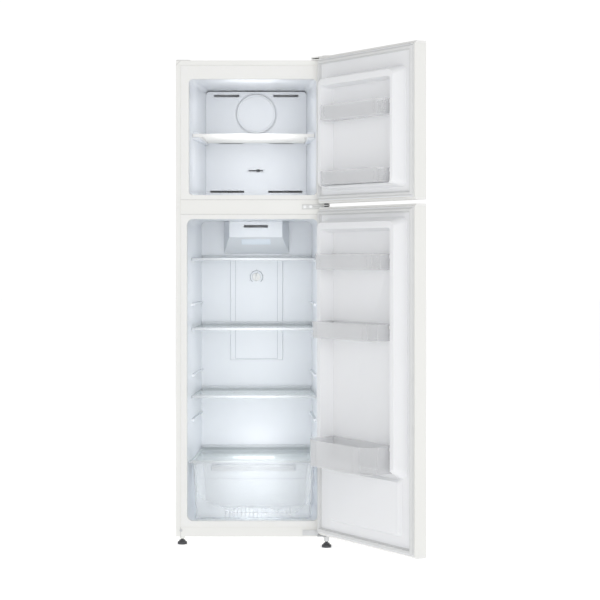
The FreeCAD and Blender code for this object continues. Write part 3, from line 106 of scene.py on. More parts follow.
def finish(name, colour, roughness, grain=400.0, grain_depth=0.00002, mottle=0.03, mottle_scale=9.0,
           metallic=0.0, edge=0.0006, stretch=(1, 1, 1)):
    """A surface with faint cloudy variation in colour and gloss, a fine grain and softened edges."""
    material = bpy.data.materials.new(name)
    material.use_nodes = True
    nodes, links = material.node_tree.nodes, material.node_tree.links
    shader = nodes["Principled BSDF"]
    shader.inputs["Metallic"].default_value = metallic
    place = nodes.new("ShaderNodeTexCoord")
    spread = nodes.new("ShaderNodeMapping")
    spread.inputs["Scale"].default_value = stretch
    links.new(place.outputs["Object"], spread.inputs["Vector"])
    cloud = nodes.new("ShaderNodeTexNoise")
    cloud.inputs["Scale"].default_value = mottle_scale
    cloud.inputs["Detail"].default_value = 4
    links.new(spread.outputs["Vector"], cloud.inputs["Vector"])
    colours = nodes.new("ShaderNodeValToRGB")
    colours.color_ramp.elements[0].position = 0.3
    colours.color_ramp.elements[1].position = 0.7
    colours.color_ramp.elements[0].color = tuple(c * (1 - mottle) for c in colour[:3]) + (1,)
    colours.color_ramp.elements[1].color = colour
    links.new(cloud.outputs["Fac"], colours.inputs["Fac"])
    links.new(colours.outputs["Color"], shader.inputs["Base Color"])
    gloss = nodes.new("ShaderNodeMapRange")
    gloss.inputs["To Min"].default_value = roughness * 0.9
    gloss.inputs["To Max"].default_value = roughness * 1.12
    links.new(cloud.outputs["Fac"], gloss.inputs["Value"])
    links.new(gloss.outputs["Result"], shader.inputs["Roughness"])
    fine = nodes.new("ShaderNodeTexNoise")
    fine.inputs["Scale"].default_value = grain
    fine.inputs["Detail"].default_value = 3
    links.new(spread.outputs["Vector"], fine.inputs["Vector"])
    relief = nodes.new("ShaderNodeBump")
    relief.inputs["Strength"].default_value = 0.5
    relief.inputs["Distance"].default_value = grain_depth
    links.new(fine.outputs["Fac"], relief.inputs["Height"])
    if edge:
        soft_edge = nodes.new("ShaderNodeBevel")
        soft_edge.samples = 4
        soft_edge.inputs["Radius"].default_value = edge
        links.new(soft_edge.outputs["Normal"], relief.inputs["Normal"])
    links.new(relief.outputs["Normal"], shader.inputs["Normal"])
    return material


def shader_of(material):
    return material.node_tree.nodes["Principled BSDF"]


def dress(material, *nodes):
    """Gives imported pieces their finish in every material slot."""
    for name in nodes:
        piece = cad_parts[name]
        if not piece.material_slots:
            piece.data.materials.append(material)
        for place in piece.material_slots:
            place.material = material


def settle(piece):
    """Puts the piece's place into its mesh, so that its object sits at the origin."""
    bpy.ops.object.select_all(action="DESELECT")
    piece.select_set(True)
    bpy.context.view_layer.objects.active = piece
    bpy.ops.object.transform_apply(location=True, rotation=True, scale=True)


def block(name, low, high):
    """A block between two corners, ready to be shaped."""
    bpy.ops.object.select_all(action="DESELECT")
    centre = [(a + b) / 2 for a, b in zip(low, high)]
    bpy.ops.mesh.primitive_cube_add(size=1, location=centre, scale=[b - a for a, b in zip(low, high)])
    piece = bpy.context.object
    piece.name = name
    settle(piece)
    return piece


def pick(piece, faces=None, edges=None):
    """Opens the piece in edit mode with the faces or edges that pass the test selected."""
    bpy.ops.object.select_all(action="DESELECT")
    piece.select_set(True)
    bpy.context.view_layer.objects.active = piece
    bpy.ops.object.mode_set(mode="EDIT")
    bpy.ops.mesh.select_mode(type="FACE" if faces else "EDGE")
    bpy.ops.mesh.select_all(action="DESELECT")
    mesh = bmesh.from_edit_mesh(piece.data)
    for face in mesh.faces if faces else []:
        face.select_set(bool(faces(face)))
    for edge in mesh.edges if edges else []:
        if edges(edge):
            edge.select_set(True)
    bmesh.update_edit_mesh(piece.data)


def done():
    bpy.ops.object.mode_set(mode="OBJECT")


def soften(piece, width, segments=3, angle=30.0):
    """Rounds every sharp edge of the piece and smooths what is left."""
    bpy.ops.object.select_all(action="DESELECT")
    piece.select_set(True)
    bpy.context.view_layer.objects.active = piece
    rounding = piece.modifiers.new("rounding", "BEVEL")
    rounding.width = width
    rounding.segments = segments
    rounding.angle_limit = math.radians(angle)
    rounding.harden_normals = False
    bpy.ops.object.modifier_apply(modifier="rounding")
    bpy.ops.object.shade_smooth_by_angle(angle=math.radians(angle))


def together(name, pieces):
    """Joins pieces into one."""
    bpy.ops.object.select_all(action="DESELECT")
    for piece in pieces:
        piece.select_set(True)
    bpy.context.view_layer.objects.active = pieces[0]
    if len(pieces) > 1:
        bpy.ops.object.join()
    pieces[0].name = name
    return pieces[0]


def copies(piece, moves):
    """Copies of the piece, each with its own mesh, one at each move. The piece itself is removed."""
    made = []
    for move in moves:
        twin = piece.copy()
        twin.data = piece.data.copy()
        bpy.context.scene.collection.objects.link(twin)
        twin.data.transform(Matrix.Translation(move))
        made.append(twin)
    bpy.data.objects.remove(piece)
    return made


def fit(piece, body, material, slot, *replaced):
    """Dresses a finished piece and lets it ride on its body."""
    piece.data.materials.clear()
    piece.data.materials.append(material)
    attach(piece, body)
    if replaced:
        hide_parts(*replaced)


HALF = 0.2725
TOP = 1.715
FRAME_WIDE = 0.017
MITRE_HALF = 0.0121
white_paint = finish("baked white paint", tone(240, 240, 237), 0.32, grain=500, grain_depth=0.00003, mottle=0.012,
                     mottle_scale=3)
shader_of(white_paint).inputs["Coat Weight"].default_value = 0.25
shader_of(white_paint).inputs["Coat Roughness"].default_value = 0.12
dress(white_paint, "outer_shell")
shadow_line = finish("shadow in a joint", tone(150, 150, 148), 0.8, mottle=0.1, edge=0)
mitres = []
for side in (-1, 1):
    line = block("mitre", (-MITRE_HALF, -0.0002, -0.00025), (MITRE_HALF, 0.0004, 0.00025))
    line.data.transform(Matrix.Rotation(side * math.radians(45), 4, "Y"))
    line.data.transform(Matrix.Translation((side * (HALF - FRAME_WIDE / 2), 0, TOP - FRAME_WIDE / 2)))
    mitres.append(line)
fit(together("front_frame_mitres", mitres), "cabinet", shadow_line, "shell_paint")

# Rear panel: galvanised steel sheet with two pressed beads, held by pan-head screws round its edge.
rear_zinc = finish("galvanised sheet", tone(196, 199, 202), 0.42, grain=900, grain_depth=0.00002, mottle=0.1,
                   mottle_scale=60, metallic=0.75)
dress(rear_zinc, "rear_panel")
bright_zinc = finish("bright zinc", tone(205, 206, 208), 0.28, grain=700, grain_depth=0.00001, mottle=0.06,
                     metallic=1.0)
REAR_Y = 0.540
SIDE_ROW_X = 0.2635
END_ROW_X = 0.09


def pan_screw(name, place, facing):
    """A domed screw head with a cross recess, which faces +Y or -Y."""
    bpy.ops.object.select_all(action="DESELECT")
    bpy.ops.mesh.primitive_cylinder_add(vertices=20, radius=0.0042, depth=0.0018, end_fill_type="NGON",
                                        location=(0, 0, 0.0009))
    head = bpy.context.object
    settle(head)
    pick(head, faces=lambda face: face.normal.z > 0.9)
    bpy.ops.mesh.bevel(offset=0.0012, segments=3, affect="EDGES")
    done()
    recess = [block("recess", (-0.0019, -0.00045, 0.0012), (0.0019, 0.00045, 0.004)),
              block("recess", (-0.00045, -0.0019, 0.0012), (0.00045, 0.0019, 0.004))]
    for slot in recess:
        cut = head.modifiers.new("cut", "BOOLEAN")
        cut.object = slot
        bpy.ops.object.select_all(action="DESELECT")
        bpy.context.view_layer.objects.active = head
        head.select_set(True)
        bpy.ops.object.modifier_apply(modifier="cut")
        bpy.data.objects.remove(slot)
    head.name = name
    head.data.transform(Matrix.Rotation(math.radians(-90 if facing > 0 else 90), 4, "X"))
    head.data.transform(Matrix.Translation(place))
    bpy.ops.object.shade_smooth_by_angle(angle=math.radians(35))
    return head


first = pan_screw("rear_panel_screws", (0, REAR_Y, 0), 1)
rear_places = [(x, 0, z) for x in (-SIDE_ROW_X, SIDE_ROW_X) for z in (0.245, 0.52, 0.80, 1.08, 1.36, 1.64)]
rear_places += [(x, 0, z) for x in (-END_ROW_X, END_ROW_X) for z in (1.703, 0.232)]
fit(together("rear_panel_screws", copies(first, rear_places)), "cabinet", bright_zinc, "zinc_steel")

# Bottom deck and the front rail under the fridge mouth: painted steel, with a seam where the rail
# laps the side flange, and the foamed-in insulation behind every wall.
dress(white_paint, "bottom_deck", "mullion_cover")
foam = finish("set polyurethane foam", tone(226, 207, 158), 0.9, grain=700, grain_depth=0.0006, mottle=0.18,
              mottle_scale=40, edge=0)
dress(foam, "insulation_foam", "freezer_door_foam", "fridge_door_foam")
rail_seams = [block("seam", (x - 0.0003, -0.0003, 0.030), (x + 0.0003, 0.0003, 0.0636))
              for x in (-HALF + FRAME_WIDE, HALF - FRAME_WIDE)]
cover_seams = [block("seam", (-HALF + FRAME_WIDE, 0.0, z - 0.0004), (HALF - FRAME_WIDE, 0.0006, z + 0.0004))
               for z in (1.1705, 1.2221)]
fit(together("front_seams", rail_seams + cover_seams), "cabinet", shadow_line, "shell_paint")

# Liners: the freezer's and the fridge's inner walls are vacuum-formed sheets of glossy polystyrene,
# with ribs for the shelves. The plastic is painted the paint's warm white on the front flange and a cool white further
# in; the cool tint inside is painted shade.
def liner_plastic(name):
    """Cool white inside, as painted shade; the flange that shows beside the paint at y = 0 is matched to the paint."""
    material = finish(name, tone(237, 240, 244), 0.3, grain=260, grain_depth=0.00006, mottle=0.012, mottle_scale=5,
                      edge=0.0015)
    nodes, links = material.node_tree.nodes, material.node_tree.links
    place = nodes.new("ShaderNodeTexCoord")
    axes = nodes.new("ShaderNodeSeparateXYZ")
    links.new(place.outputs["Object"], axes.inputs["Vector"])
    # Painted shade: from 2 mm to 30 mm in, the colour turns from the paint's warm white to the cool white of the shaded
    # inside.
    depth = nodes.new("ShaderNodeMapRange")
    depth.inputs["From Min"].default_value = 0.002
    depth.inputs["From Max"].default_value = 0.03
    links.new(axes.outputs["Y"], depth.inputs["Value"])
    mouth_to_inside_shade = nodes.new("ShaderNodeMix")
    mouth_to_inside_shade.data_type = "RGBA"
    mouth_to_inside_shade.inputs["A"].default_value = tone(240, 240, 238)
    links.new(depth.outputs["Result"], mouth_to_inside_shade.inputs["Factor"])
    cool = shader_of(material).inputs["Base Color"].links[0].from_socket
    links.new(cool, mouth_to_inside_shade.inputs["B"])
    links.new(mouth_to_inside_shade.outputs["Result"], shader_of(material).inputs["Base Color"])
    return material


liner_white = liner_plastic("formed liner plastic")
shader_of(liner_white).inputs["Subsurface Weight"].default_value = 0.06
shader_of(liner_white).inputs["Subsurface Radius"].default_value = (0.004, 0.004, 0.005)
dress(liner_white, "freezer_liner", "fridge_liner")

# Hinge-hole caps: moulded plastic pads and plugs in the holes that stay unused on the left side.
white_plastic = finish("moulded white plastic", tone(242, 242, 240), 0.4, grain=900, grain_depth=0.00003,
                       mottle=0.015, mottle_scale=12, edge=0.001)
dress(white_plastic, "hinge_hole_caps", "top_hinge_cover", "freezer_door_end_caps", "fridge_door_end_caps")

# Hinges: pressed brackets, zinc plated, with turned pins, washers and screws.
plated = finish("zinc plated steel", tone(214, 215, 216), 0.33, grain=600, grain_depth=0.00002, mottle=0.08,
                mottle_scale=35, metallic=0.85)
dress(plated, "top_hinge_bracket", "bottom_hinge_bracket", "hinge_screws", "roller_axles")
middle_paint = finish("silver hinge paint", tone(206, 207, 206), 0.4, mottle=0.04, metallic=0.3)
dress(middle_paint, "middle_hinge_bracket")
dark_steel = finish("oiled dark steel", tone(66, 66, 68), 0.38, grain=500, mottle=0.2, mottle_scale=80, metallic=0.8)
dress(dark_steel, "hinge_pins")

# Running gear: threaded feet under the front corners and nylon rollers at the back.
foot_steel = finish("dull foot steel", tone(92, 93, 96), 0.42, grain=600, mottle=0.25, mottle_scale=70,
                    metallic=0.7)
dress(foot_steel, "front_left_foot", "front_right_foot")
nylon = finish("black nylon", tone(38, 38, 40), 0.5, grain=800, mottle=0.1, mottle_scale=50)
dress(nylon, "rear_roller_left", "rear_roller_right")

# Compressor compartment: a black enamelled compressor on rubber grommets, a galvanised base, the
# copper-plated lines, and a plastic pan that takes the defrost water.
enamel = finish("black enamel", tone(30, 30, 32), 0.28, grain=220, grain_depth=0.00012, mottle=0.1, mottle_scale=30)
dress(enamel, "compressor")
dress(rear_zinc, "compressor_base")
rubber = finish("black rubber", tone(40, 40, 41), 0.75, grain=1200, grain_depth=0.00005, mottle=0.15)
dress(rubber, "compressor_grommets")
dark_plastic = finish("dark moulded plastic", tone(58, 60, 63), 0.45, grain=1100, grain_depth=0.00004, mottle=0.06)
dress(dark_plastic, "drain_pan", "fan_motor")
copper = finish("copper line", tone(196, 128, 92), 0.3, grain=500, mottle=0.16, mottle_scale=60, metallic=1.0)
dress(copper, "refrigerant_tubing")

# Evaporator and its heater behind the freezer's back cover: bent aluminium tube through thin fins.
aluminium = finish("mill aluminium", tone(205, 208, 211), 0.36, grain=800, mottle=0.08, mottle_scale=45,
                   metallic=1.0, stretch=(1, 1, 6))
dress(aluminium, "evaporator", "defrost_heater")
grey_blade = finish("fan blade plastic", tone(212, 215, 218), 0.4, mottle=0.03)
dress(grey_blade, "fan_blade")

# Freezer's back cover: a moulded panel with air slots, a round fan cover held off it, and the air
# slider with its dark lever.
dress(liner_white, "evaporator_cover", "fan_cover_disc")
dress(dark_plastic, "air_slider")
FAN_Z = 1.561
PANEL_Y = 0.410
bpy.ops.object.select_all(action="DESELECT")
bpy.ops.mesh.primitive_torus_add(major_radius=0.0665, minor_radius=0.0009, major_segments=96, minor_segments=8,
                                 location=(0, PANEL_Y - 0.008, FAN_Z), rotation=(math.radians(90), 0, 0))
disc_ring = bpy.context.object
settle(disc_ring)
bpy.ops.object.shade_smooth()
disc_ring.name = "fan_cover_ring"
fit(disc_ring, "cabinet", liner_white, "white_plastic")

# Freezer shelf: one moulded plate with a stiffening rib across its underside and a smooth white band
# along the front, which also closes the ends of the two side channels that it slides in.
dress(white_plastic, "freezer_shelf")
SHELF_TOP = 1.460
ribs = copies(block("rib", (-0.184, -0.0008, SHELF_TOP - 0.0102), (0.184, 0.0008, SHELF_TOP - 0.0040)),
              [(0, y, 0) for y in (0.16, 0.24, 0.32)])
band = block("band", (-0.2185, 0.0692, SHELF_TOP - 0.0112), (0.2185, 0.0712, SHELF_TOP + 0.0008))
soften(band, 0.0006)
fit(together("freezer_shelf_ribs", ribs + [band]), "freezer_shelf", white_plastic, "white_plastic")

# Duct housing under the fridge ceiling: white plastic, with the lamp behind a ribbed lens that
# gives a weak cool light.
dress(liner_white, "duct_housing", "duct_panel")
lens = finish("lamp lens", tone(236, 242, 248), 0.25, grain=300, mottle=0.03)
shader_of(lens).inputs["Emission Color"].default_value = tone(226, 238, 255)
shader_of(lens).inputs["Emission Strength"].default_value = 0.12
dress(lens, "lamp_lens")
COOL = (0.985, 0.99, 1.0)
soft_box("fridge_lamp", (0, 0.12, 1.140), (0, 0.36, 0.9), 0.20, 0.20, COOL)
soft_box("fridge_fill", (0, 0.02, 0.88), (0, 0.45, 0.86), 0.34, 0.26, COOL)
soft_box("middle_fill", (0, 0.02, 0.63), (0, 0.45, 0.62), 0.24, 0.20, COOL)
soft_box("lower_fill", (0, 0.01, 0.41), (0, 0.42, 0.40), 0.24, 0.21, COOL)
soft_box("crisper_fill", (0, 0.11, 0.262), (0, 0.30, 0.08), 0.15, 0.62, COOL)
soft_box("freezer_top_fill", (0, 0.02, 1.56), (0, 0.40, 1.55), 0.2, 0.24, COOL)
soft_box("freezer_low_fill", (0, 0.02, 1.34), (0, 0.40, 1.34), 0.2, 0.28, COOL)

# Duct panel: a thin grey strip of painted shade stands for the fine groove that marks out the inner panel, and the
# thermostat's dial is a printed arc round a knurled knob.
PANEL_FRONT = 0.444
# Painted shade: the groove's shadow is a grey strip standing just proud of the panel.
seam_shade_paint = finish("painted shade of a fine duct seam", tone(178, 184, 191), 0.7, mottle=0.05, edge=0)
LINE = 0.0012
seams = [block("seam", (x - LINE / 2, PANEL_FRONT - 0.0003, 0.631), (x + LINE / 2, PANEL_FRONT + 0.001, 1.020))
         for x in (-0.080, 0.080)]
seams.append(block("seam", (-0.080, PANEL_FRONT - 0.0003, 0.631 - LINE / 2), (0.080, PANEL_FRONT + 0.001,
                                                                             0.631 + LINE / 2)))
fit(together("duct_panel_seam_shade", seams), "cabinet", seam_shade_paint, "white_plastic")
DIAL_Z = 0.942
bpy.ops.object.select_all(action="DESELECT")
bpy.ops.mesh.primitive_torus_add(major_radius=0.024, minor_radius=0.0009, major_segments=72, minor_segments=8,
                                 location=(0, 0, 0), rotation=(math.radians(90), 0, 0))
dial = bpy.context.object
settle(dial)
pick(dial, faces=lambda face: face.calc_center_median().z < -0.018)
bpy.ops.mesh.delete(type="FACE")
bpy.ops.mesh.select_mode(type="EDGE")
bpy.ops.mesh.select_all(action="SELECT")
bpy.ops.mesh.region_to_loop()
bpy.ops.mesh.edge_face_add()
done()
dial.data.transform(Matrix.Translation((0, PANEL_FRONT, DIAL_Z)))
ticks = []
for step in range(-3, 4):
    tick = block("tick", (-0.0004, -0.0004, 0.0265), (0.0004, 0.0008, 0.030))
    tick.data.transform(Matrix.Rotation(math.radians(step * 38), 4, "Y"))
    tick.data.transform(Matrix.Translation((0, PANEL_FRONT, DIAL_Z)))
    ticks.append(tick)
print_grey = finish("dial print", tone(122, 130, 140), 0.6, mottle=0.05, edge=0)
fit(together("thermostat_dial", [dial] + ticks), "cabinet", print_grey, "white_plastic")

bpy.ops.object.select_all(action="DESELECT")
bpy.ops.mesh.primitive_cylinder_add(vertices=48, radius=0.0146, depth=0.0066, location=(0, 0, 0),
                                    rotation=(math.radians(90), 0, 0))
knob = bpy.context.object
settle(knob)
pick(knob, faces=lambda face: abs(face.normal.y) < 0.1 and int(
    math.degrees(math.atan2(face.normal.z, face.normal.x)) // 7.5) % 2 == 0)
bpy.ops.mesh.extrude_faces_move(TRANSFORM_OT_shrink_fatten={"value": 0.0004})
done()
pick(knob, edges=lambda edge: all(face.normal.y < -0.9 or abs(face.normal.y) < 0.1 for face in edge.link_faces)
     and any(face.normal.y < -0.9 for face in edge.link_faces))
bpy.ops.mesh.bevel(offset=0.0008, segments=2)
done()
knob.data.transform(Matrix.Translation((0, PANEL_FRONT - 0.0037, DIAL_Z)))
grip = block("grip", (-0.0029, PANEL_FRONT - 0.0143, DIAL_Z - 0.0138),
             (0.0029, PANEL_FRONT - 0.0066, DIAL_Z + 0.0138))
pick(grip, faces=lambda face: face.normal.y < -0.9)
bpy.ops.transform.resize(value=(0.62, 1, 0.94), center_override=(0, PANEL_FRONT - 0.0143, DIAL_Z))
done()
soften(grip, 0.0007)
fit(together("thermostat_knob_turned", [knob, grip]), "thermostat_knob", white_plastic, "white_plastic",
    "thermostat_knob")
pointer = block("pointer", (-0.0005, PANEL_FRONT - 0.01445, DIAL_Z + 0.004), (0.0005, PANEL_FRONT - 0.0142,
                                                                            DIAL_Z + 0.012))
pointer.name = "thermostat_pointer"
fit(pointer, "thermostat_knob", print_grey, "white_plastic")

# Shelves: toughened glass with a polished edge, and a clear white moulding pushed over its front and
# back edges.
def see_through(material, facing, grazing):
    """Lets light through the surface: alpha runs from the first value head-on to the second at a low angle."""
    nodes, links = material.node_tree.nodes, material.node_tree.links
    angle = nodes.new("ShaderNodeLayerWeight")
    angle.inputs["Blend"].default_value = 0.35
    level = nodes.new("ShaderNodeMapRange")
    level.inputs["To Min"].default_value = facing
    level.inputs["To Max"].default_value = grazing
    links.new(angle.outputs["Facing"], level.inputs["Value"])
    links.new(level.outputs["Result"], nodes["Principled BSDF"].inputs["Alpha"])
    return material


glass = see_through(finish("toughened glass", tone(206, 219, 218), 0.05, grain=60, grain_depth=0.000004,
                           mottle=0.02, edge=0), 0.08, 0.42)
trim = see_through(finish("clear white trim", tone(236, 240, 243), 0.22, grain=300, mottle=0.02, edge=0.0012),
                   0.5, 0.95)
for shelf in ("upper_shelf", "middle_shelf", "lower_shelf", "crisper_cover"):
    dress(glass, shelf + "_glass")
    dress(trim, shelf + "_trim")

# Crisper: an injection-moulded drawer of clear polystyrene, slightly milky, with a stiff rim, a hood
# to pull it by, a grip band across the top of its front and fine ribs low on it.
milky = see_through(finish("milky clear plastic", tone(240, 244, 247), 0.16, grain=180, grain_depth=0.00008,
                           mottle=0.02, edge=0.0008), 0.22, 0.7)
shader_of(milky).inputs["Subsurface Weight"].default_value = 0.15
shader_of(milky).inputs["Subsurface Radius"].default_value = (0.01, 0.01, 0.011)
CRISPER_FRONT, CRISPER_BACK = 0.050, 0.322
CRISPER_LOW, CRISPER_TOP = 0.0849, 0.2825
drawer = block("drawer", (-0.5, CRISPER_FRONT, CRISPER_LOW), (0.5, CRISPER_BACK, CRISPER_TOP))
for corner in drawer.data.vertices:
    half = 0.218 if corner.co.y < 0.1 else 0.2047
    corner.co.x = math.copysign(half - (0.014 if corner.co.z < 0.1 else 0), corner.co.x)
pick(drawer, faces=lambda face: face.normal.z > 0.9)
bpy.ops.mesh.delete(type="FACE")
done()
pick(drawer, edges=lambda edge: abs((edge.verts[0].co - edge.verts[1].co).z) > 0.1)
bpy.ops.mesh.bevel(offset=0.012, segments=6)
done()
pick(drawer, edges=lambda edge: all(vertex.co.z < CRISPER_LOW + 0.0001 for vertex in edge.verts))
bpy.ops.mesh.bevel(offset=0.004, segments=3)
done()


def walled(piece, thick):
    """Turns an open shell into a wall of that thickness, kept inside its outer face."""
    wall = piece.modifiers.new("wall", "SOLIDIFY")
    wall.thickness = thick
    wall.offset = -1
    wall.use_even_offset = True
    bpy.ops.object.modifier_apply(modifier="wall")


walled(drawer, 0.0022)
bpy.ops.object.shade_smooth_by_angle(angle=math.radians(35))
hood = block("hood", (-0.150, CRISPER_FRONT - 0.012, CRISPER_TOP - 0.026),
             (0.150, CRISPER_FRONT + 0.0005, CRISPER_TOP - 0.004))
pick(hood, faces=lambda face: face.normal.z < -0.9 or face.normal.y > 0.9)
bpy.ops.mesh.delete(type="FACE")
done()
pick(hood, edges=lambda edge: len(edge.link_faces) == 2)
bpy.ops.mesh.bevel(offset=0.004, segments=4)
done()
walled(hood, 0.0022)
bpy.ops.object.shade_smooth_by_angle(angle=math.radians(35))
grip_band = block("band", (-0.192, CRISPER_FRONT - 0.0007, CRISPER_TOP - 0.055),
                  (0.192, CRISPER_FRONT + 0.0005, CRISPER_TOP - 0.0538))
fine_ribs = copies(block("rib", (-0.0009, CRISPER_FRONT - 0.0012, CRISPER_LOW + 0.004),
                         (0.0009, CRISPER_FRONT + 0.0006, 0.127)), [(-0.100 + 0.0145 * i, 0, 0) for i in range(17)])
fine_ribs += [block("rib", (-0.106, CRISPER_FRONT - 0.0010, z), (0.138, CRISPER_FRONT + 0.0006, z + 0.0016))
              for z in (0.106, 0.1262)]
fit(together("crisper_moulding", [drawer, hood, grip_band] + fine_ribs), "crisper", milky, "clear_plastic",
    "crisper_drawer")

# Doors: each is a painted steel skin with a plastic cap at either end.
dress(white_paint, "freezer_door_skin", "fridge_door_skin")
PIVOT = Vector((0.2605, -0.039, 0))
OPEN = math.radians(124.5)
LINING_Y = -0.012
DYKE = 0.045
BAY_HALF = 0.1825
door_liner = finish("formed door liner", tone(240, 241, 243), 0.3, grain=260, grain_depth=0.00005, mottle=0.015,
                    mottle_scale=5, edge=0)
shader_of(door_liner).inputs["Subsurface Weight"].default_value = 0.05
shader_of(door_liner).inputs["Subsurface Radius"].default_value = (0.004, 0.004, 0.005)


def swung(piece):
    """Turns a piece that was made on the shut door to where the open door holds it."""
    piece.data.transform(Matrix.Translation(PIVOT) @ Matrix.Rotation(OPEN, 4, "Z") @ Matrix.Translation(-PIVOT))
    return piece


def tapered_block(name, foot, crown, radius, y_foot, y_crown):
    """A block on the door's face: foot and crown are (half width, low z, high z), with round corners."""
    piece = block(name, (-0.5, y_foot, 0), (0.5, y_crown, 1))
    for corner in piece.data.vertices:
        half, low, high = foot if corner.co.y < (y_foot + y_crown) / 2 else crown
        corner.co.x = math.copysign(half, corner.co.x)
        corner.co.z = high if corner.co.z > 0.5 else low
    pick(piece, edges=lambda edge: abs(edge.verts[0].co.y - edge.verts[1].co.y) > 0.005)
    bpy.ops.mesh.bevel(offset=radius, segments=8)
    done()
    return piece


def carve(piece, tool, how="DIFFERENCE"):
    """Cuts the tool out of the piece, or adds it to the piece."""
    bpy.ops.object.select_all(action="DESELECT")
    piece.select_set(True)
    bpy.context.view_layer.objects.active = piece
    change = piece.modifiers.new("carve", "BOOLEAN")
    change.operation = how
    change.solver = "EXACT"
    change.object = tool
    bpy.ops.object.modifier_apply(modifier="carve")
    bpy.data.objects.remove(tool)


# Door linings: one vacuum-formed sheet on each door, raised in a wide dyke that fits the compartment's
# mouth. The bins hang between the dykes on small lugs; every edge of the forming is generously round.
def door_lining(name, body, z_low, z_high, foot, crown, bay_foot, bay_crown, sill, pad, ledges, replaced):
    dyke = tapered_block("dyke", foot, crown, 0.020, LINING_Y - 0.001, LINING_Y + DYKE)
    carve(dyke, tapered_block("bay", bay_foot, bay_crown, 0.010, LINING_Y, LINING_Y + DYKE + 0.0001))
    if sill:
        carve(dyke, block("sill", (-BAY_HALF, LINING_Y + sill, z_low), (BAY_HALF, 0.2, bay_foot[1] + 0.004)))
    sheet = block(name, (-HALF + 0.0055, LINING_Y - 0.0012, z_low + 0.008),
                  (HALF - 0.0055, LINING_Y, z_high - 0.008))
    carve(sheet, dyke, "UNION")
    if pad:
        half, low, high, up = pad
        carve(sheet, tapered_block("pad", (half, low, high), (half - 0.009, low + 0.009, high - 0.009), 0.010,
                                   LINING_Y - 0.001, LINING_Y + up), "UNION")
    pick(sheet, edges=lambda edge: len(edge.link_faces) == 2 and edge.calc_face_angle(0) > math.radians(32)
         and all(abs(vertex.co.x) < HALF - 0.012 and vertex.co.y > LINING_Y - 0.0005 for vertex in edge.verts))
    bpy.ops.mesh.bevel(offset=0.0045, segments=4, clamp_overlap=True)
    done()
    bpy.ops.object.shade_smooth_by_angle(angle=math.radians(40))
    lugs = []
    for ledge in ledges:
        for side in (-1, 1):
            near, far = sorted((side * (BAY_HALF - 0.006), side * (BAY_HALF + 0.005)))
            lug = block("lug", (near, LINING_Y + 0.008, ledge - 0.0155), (far, LINING_Y + 0.032, ledge - 0.0033))
            soften(lug, 0.0015)
            lugs.append(lug)
    whole = swung(together(name, [sheet] + lugs))
    fit(whole, body, door_liner, "door_liner", replaced)


door_lining("freezer_door_lining", "freezer_door", 1.2075, 1.722, (0.2252, 1.249, 1.6483), (0.2105, 1.264, 1.6336),
            (0.1825, 1.2665, 1.606), (0.1965, 1.2645, 1.612), 0.022, None, (1.314, 1.540), "freezer_door_liner")
door_lining("fridge_door_lining", "fridge_door", 0.044, 1.194, (0.2315, 0.295, 1.1526), (0.2168, 0.322, 1.1379),
            (0.1825, 0.250, 1.106), (0.1965, 0.250, 1.116), 0, (0.204, 0.104, 0.293, 0.012),
            (0.400, 0.800, 1.031), "fridge_door_liner")

# Magnetic gaskets: a soft vinyl profile pressed into the door's edge all round, with a wide foot, a
# pinched waist and a round bulb that meets the cabinet's frame.
gasket_vinyl = finish("gasket vinyl", tone(222, 223, 223), 0.55, grain=900, grain_depth=0.00003, mottle=0.03,
                      mottle_scale=20, edge=0)
GASKET = 0.016


def gasket(name, body, z_low, z_high, replaced):
    ring = block(name, (-HALF + 0.005, LINING_Y - 0.0001, z_low), (HALF - 0.005, LINING_Y + 0.003, z_high))
    hole = block("hole", (-HALF + 0.005 + GASKET, LINING_Y - 1, z_low + GASKET),
                 (HALF - 0.005 - GASKET, LINING_Y + 1, z_high - GASKET))
    carve(ring, hole)
    pick(ring, faces=lambda face: face.normal.y > 0.9)
    bpy.ops.mesh.inset(thickness=0.0034)
    bpy.ops.mesh.extrude_region_move(TRANSFORM_OT_translate={"value": (0, 0.0022, 0)})
    bpy.ops.mesh.extrude_region_move(TRANSFORM_OT_translate={"value": (0, 0.0020, 0)})
    bpy.ops.mesh.extrude_region_move(TRANSFORM_OT_translate={"value": (0, 0.0042, 0)})
    done()
    pick(ring, edges=lambda edge: all(abs(vertex.co.y - LINING_Y - 0.0072) < 0.0002 for vertex in edge.verts))
    bpy.ops.transform.shrink_fatten(value=-0.0012)
    done()
    pick(ring, edges=lambda edge: all(vertex.co.y > LINING_Y + 0.011 for vertex in edge.verts)
         and len(edge.link_faces) == 2 and edge.calc_face_angle(0) > 1.0)
    bpy.ops.mesh.bevel(offset=0.0026, segments=4)
    done()
    bpy.ops.object.shade_smooth_by_angle(angle=math.radians(50))
    fit(swung(ring), body, gasket_vinyl, "gasket_rubber", replaced)


gasket("freezer_door_seal", "freezer_door", 1.220, 1.7095, "freezer_door_gasket")
gasket("fridge_door_seal", "fridge_door", 0.0565, 1.1815, "fridge_door_gasket")

# Door bins: clear, slightly smoky polystyrene trays that hang by a ledge at each end. Each has round
# front corners, a thick rolled rim, an upright step near either end and ribs across its floor.
smoky = see_through(finish("smoky clear plastic", tone(236, 237, 239), 0.14, grain=160, grain_depth=0.00008,
                           mottle=0.03, edge=0.0006), 0.24, 0.78)
BIN_HALF = 0.176
RIM_HIGH = 0.007


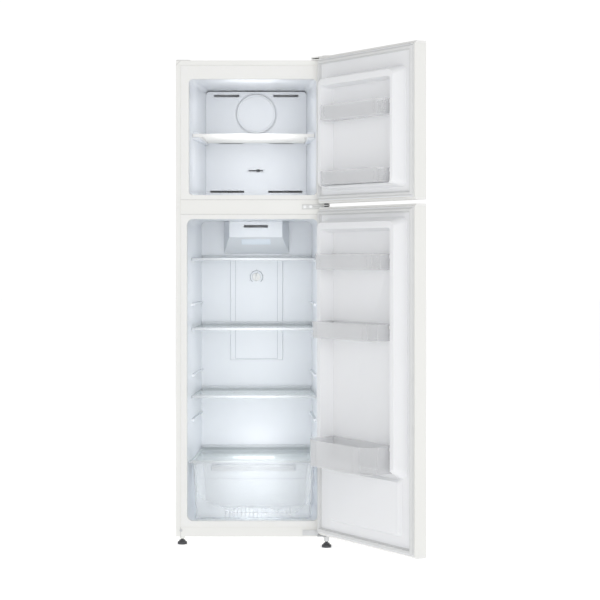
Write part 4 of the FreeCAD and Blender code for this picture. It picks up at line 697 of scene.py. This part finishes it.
def door_bin(name, body, z_low, z_high, reach, corner, replaced):
    front = LINING_Y + reach
    tray = block(name, (-BIN_HALF, LINING_Y + 0.003, z_low), (BIN_HALF, front, z_high))
    pick(tray, faces=lambda face: face.normal.z > 0.9)
    bpy.ops.mesh.delete(type="FACE")
    done()
    pick(tray, edges=lambda edge: abs((edge.verts[0].co - edge.verts[1].co).z) > 0.02
         and edge.verts[0].co.y > front - 0.001)
    bpy.ops.mesh.bevel(offset=corner, segments=10)
    done()
    pick(tray, edges=lambda edge: all(vertex.co.z < z_low + 0.0001 for vertex in edge.verts)
         and any(abs(face.normal.z) < 0.5 for face in edge.link_faces))
    bpy.ops.mesh.bevel(offset=0.004, segments=3)
    done()
    pick(tray, faces=lambda face: True)
    bpy.ops.mesh.bisect(plane_co=(0, 0, z_high - RIM_HIGH), plane_no=(0, 0, 1))
    done()
    walled(tray, 0.002)
    pick(tray, faces=lambda face: abs(face.normal.z) < 0.3 and face.calc_center_median().z > z_high - RIM_HIGH
         and face.normal.dot(face.calc_center_median() - Vector((0, LINING_Y + reach / 2, z_high))) > 0
         and face.normal.y > -0.5)
    bpy.ops.mesh.extrude_region_shrink_fatten(TRANSFORM_OT_shrink_fatten={"value": 0.0014})
    done()
    bpy.ops.object.shade_smooth_by_angle(angle=math.radians(35))
    extras = []
    for side in (-1, 1):
        x = side * (BIN_HALF - corner - 0.012)
        step = block("step", (x - 0.0016, front - 0.001, z_low + 0.005),
                     (x + 0.0016, front + 0.0012, z_high - RIM_HIGH))
        soften(step, 0.0007)
        near, far = sorted((side * (BIN_HALF - 0.001), side * (BAY_HALF + 0.0015)))
        ledge = block("ledge", (near, LINING_Y + 0.006, z_high - 0.003), (far, LINING_Y + 0.034, z_high))
        soften(ledge, 0.0006)
        extras += [step, ledge]
    across = int(2 * (BIN_HALF - corner) / 0.036)
    extras += copies(block("rib", (-0.0008, LINING_Y + 0.010, z_low + 0.0018), (0.0008, front - 0.010, z_low + 0.0034)),
                     [((i - across / 2) * 0.036, 0, 0) for i in range(across + 1)])
    fit(swung(together(name, [tray] + extras)), body, smoky, "clear_plastic", replaced)


door_bin("freezer_upper_tray", "freezer_upper_bin", 1.488, 1.540, 0.068, 0.024, "freezer_upper_bin")
door_bin("freezer_lower_tray", "freezer_lower_bin", 1.268, 1.314, 0.068, 0.024, "freezer_lower_bin")
door_bin("fridge_upper_tray", "fridge_upper_bin", 0.978, 1.031, 0.093, 0.030, "fridge_upper_bin")
door_bin("fridge_middle_tray", "fridge_middle_bin", 0.745, 0.800, 0.108, 0.034, "fridge_middle_bin")
door_bin("bottle_tray", "bottle_bin", 0.310, 0.400, 0.130, 0.060, "bottle_bin")
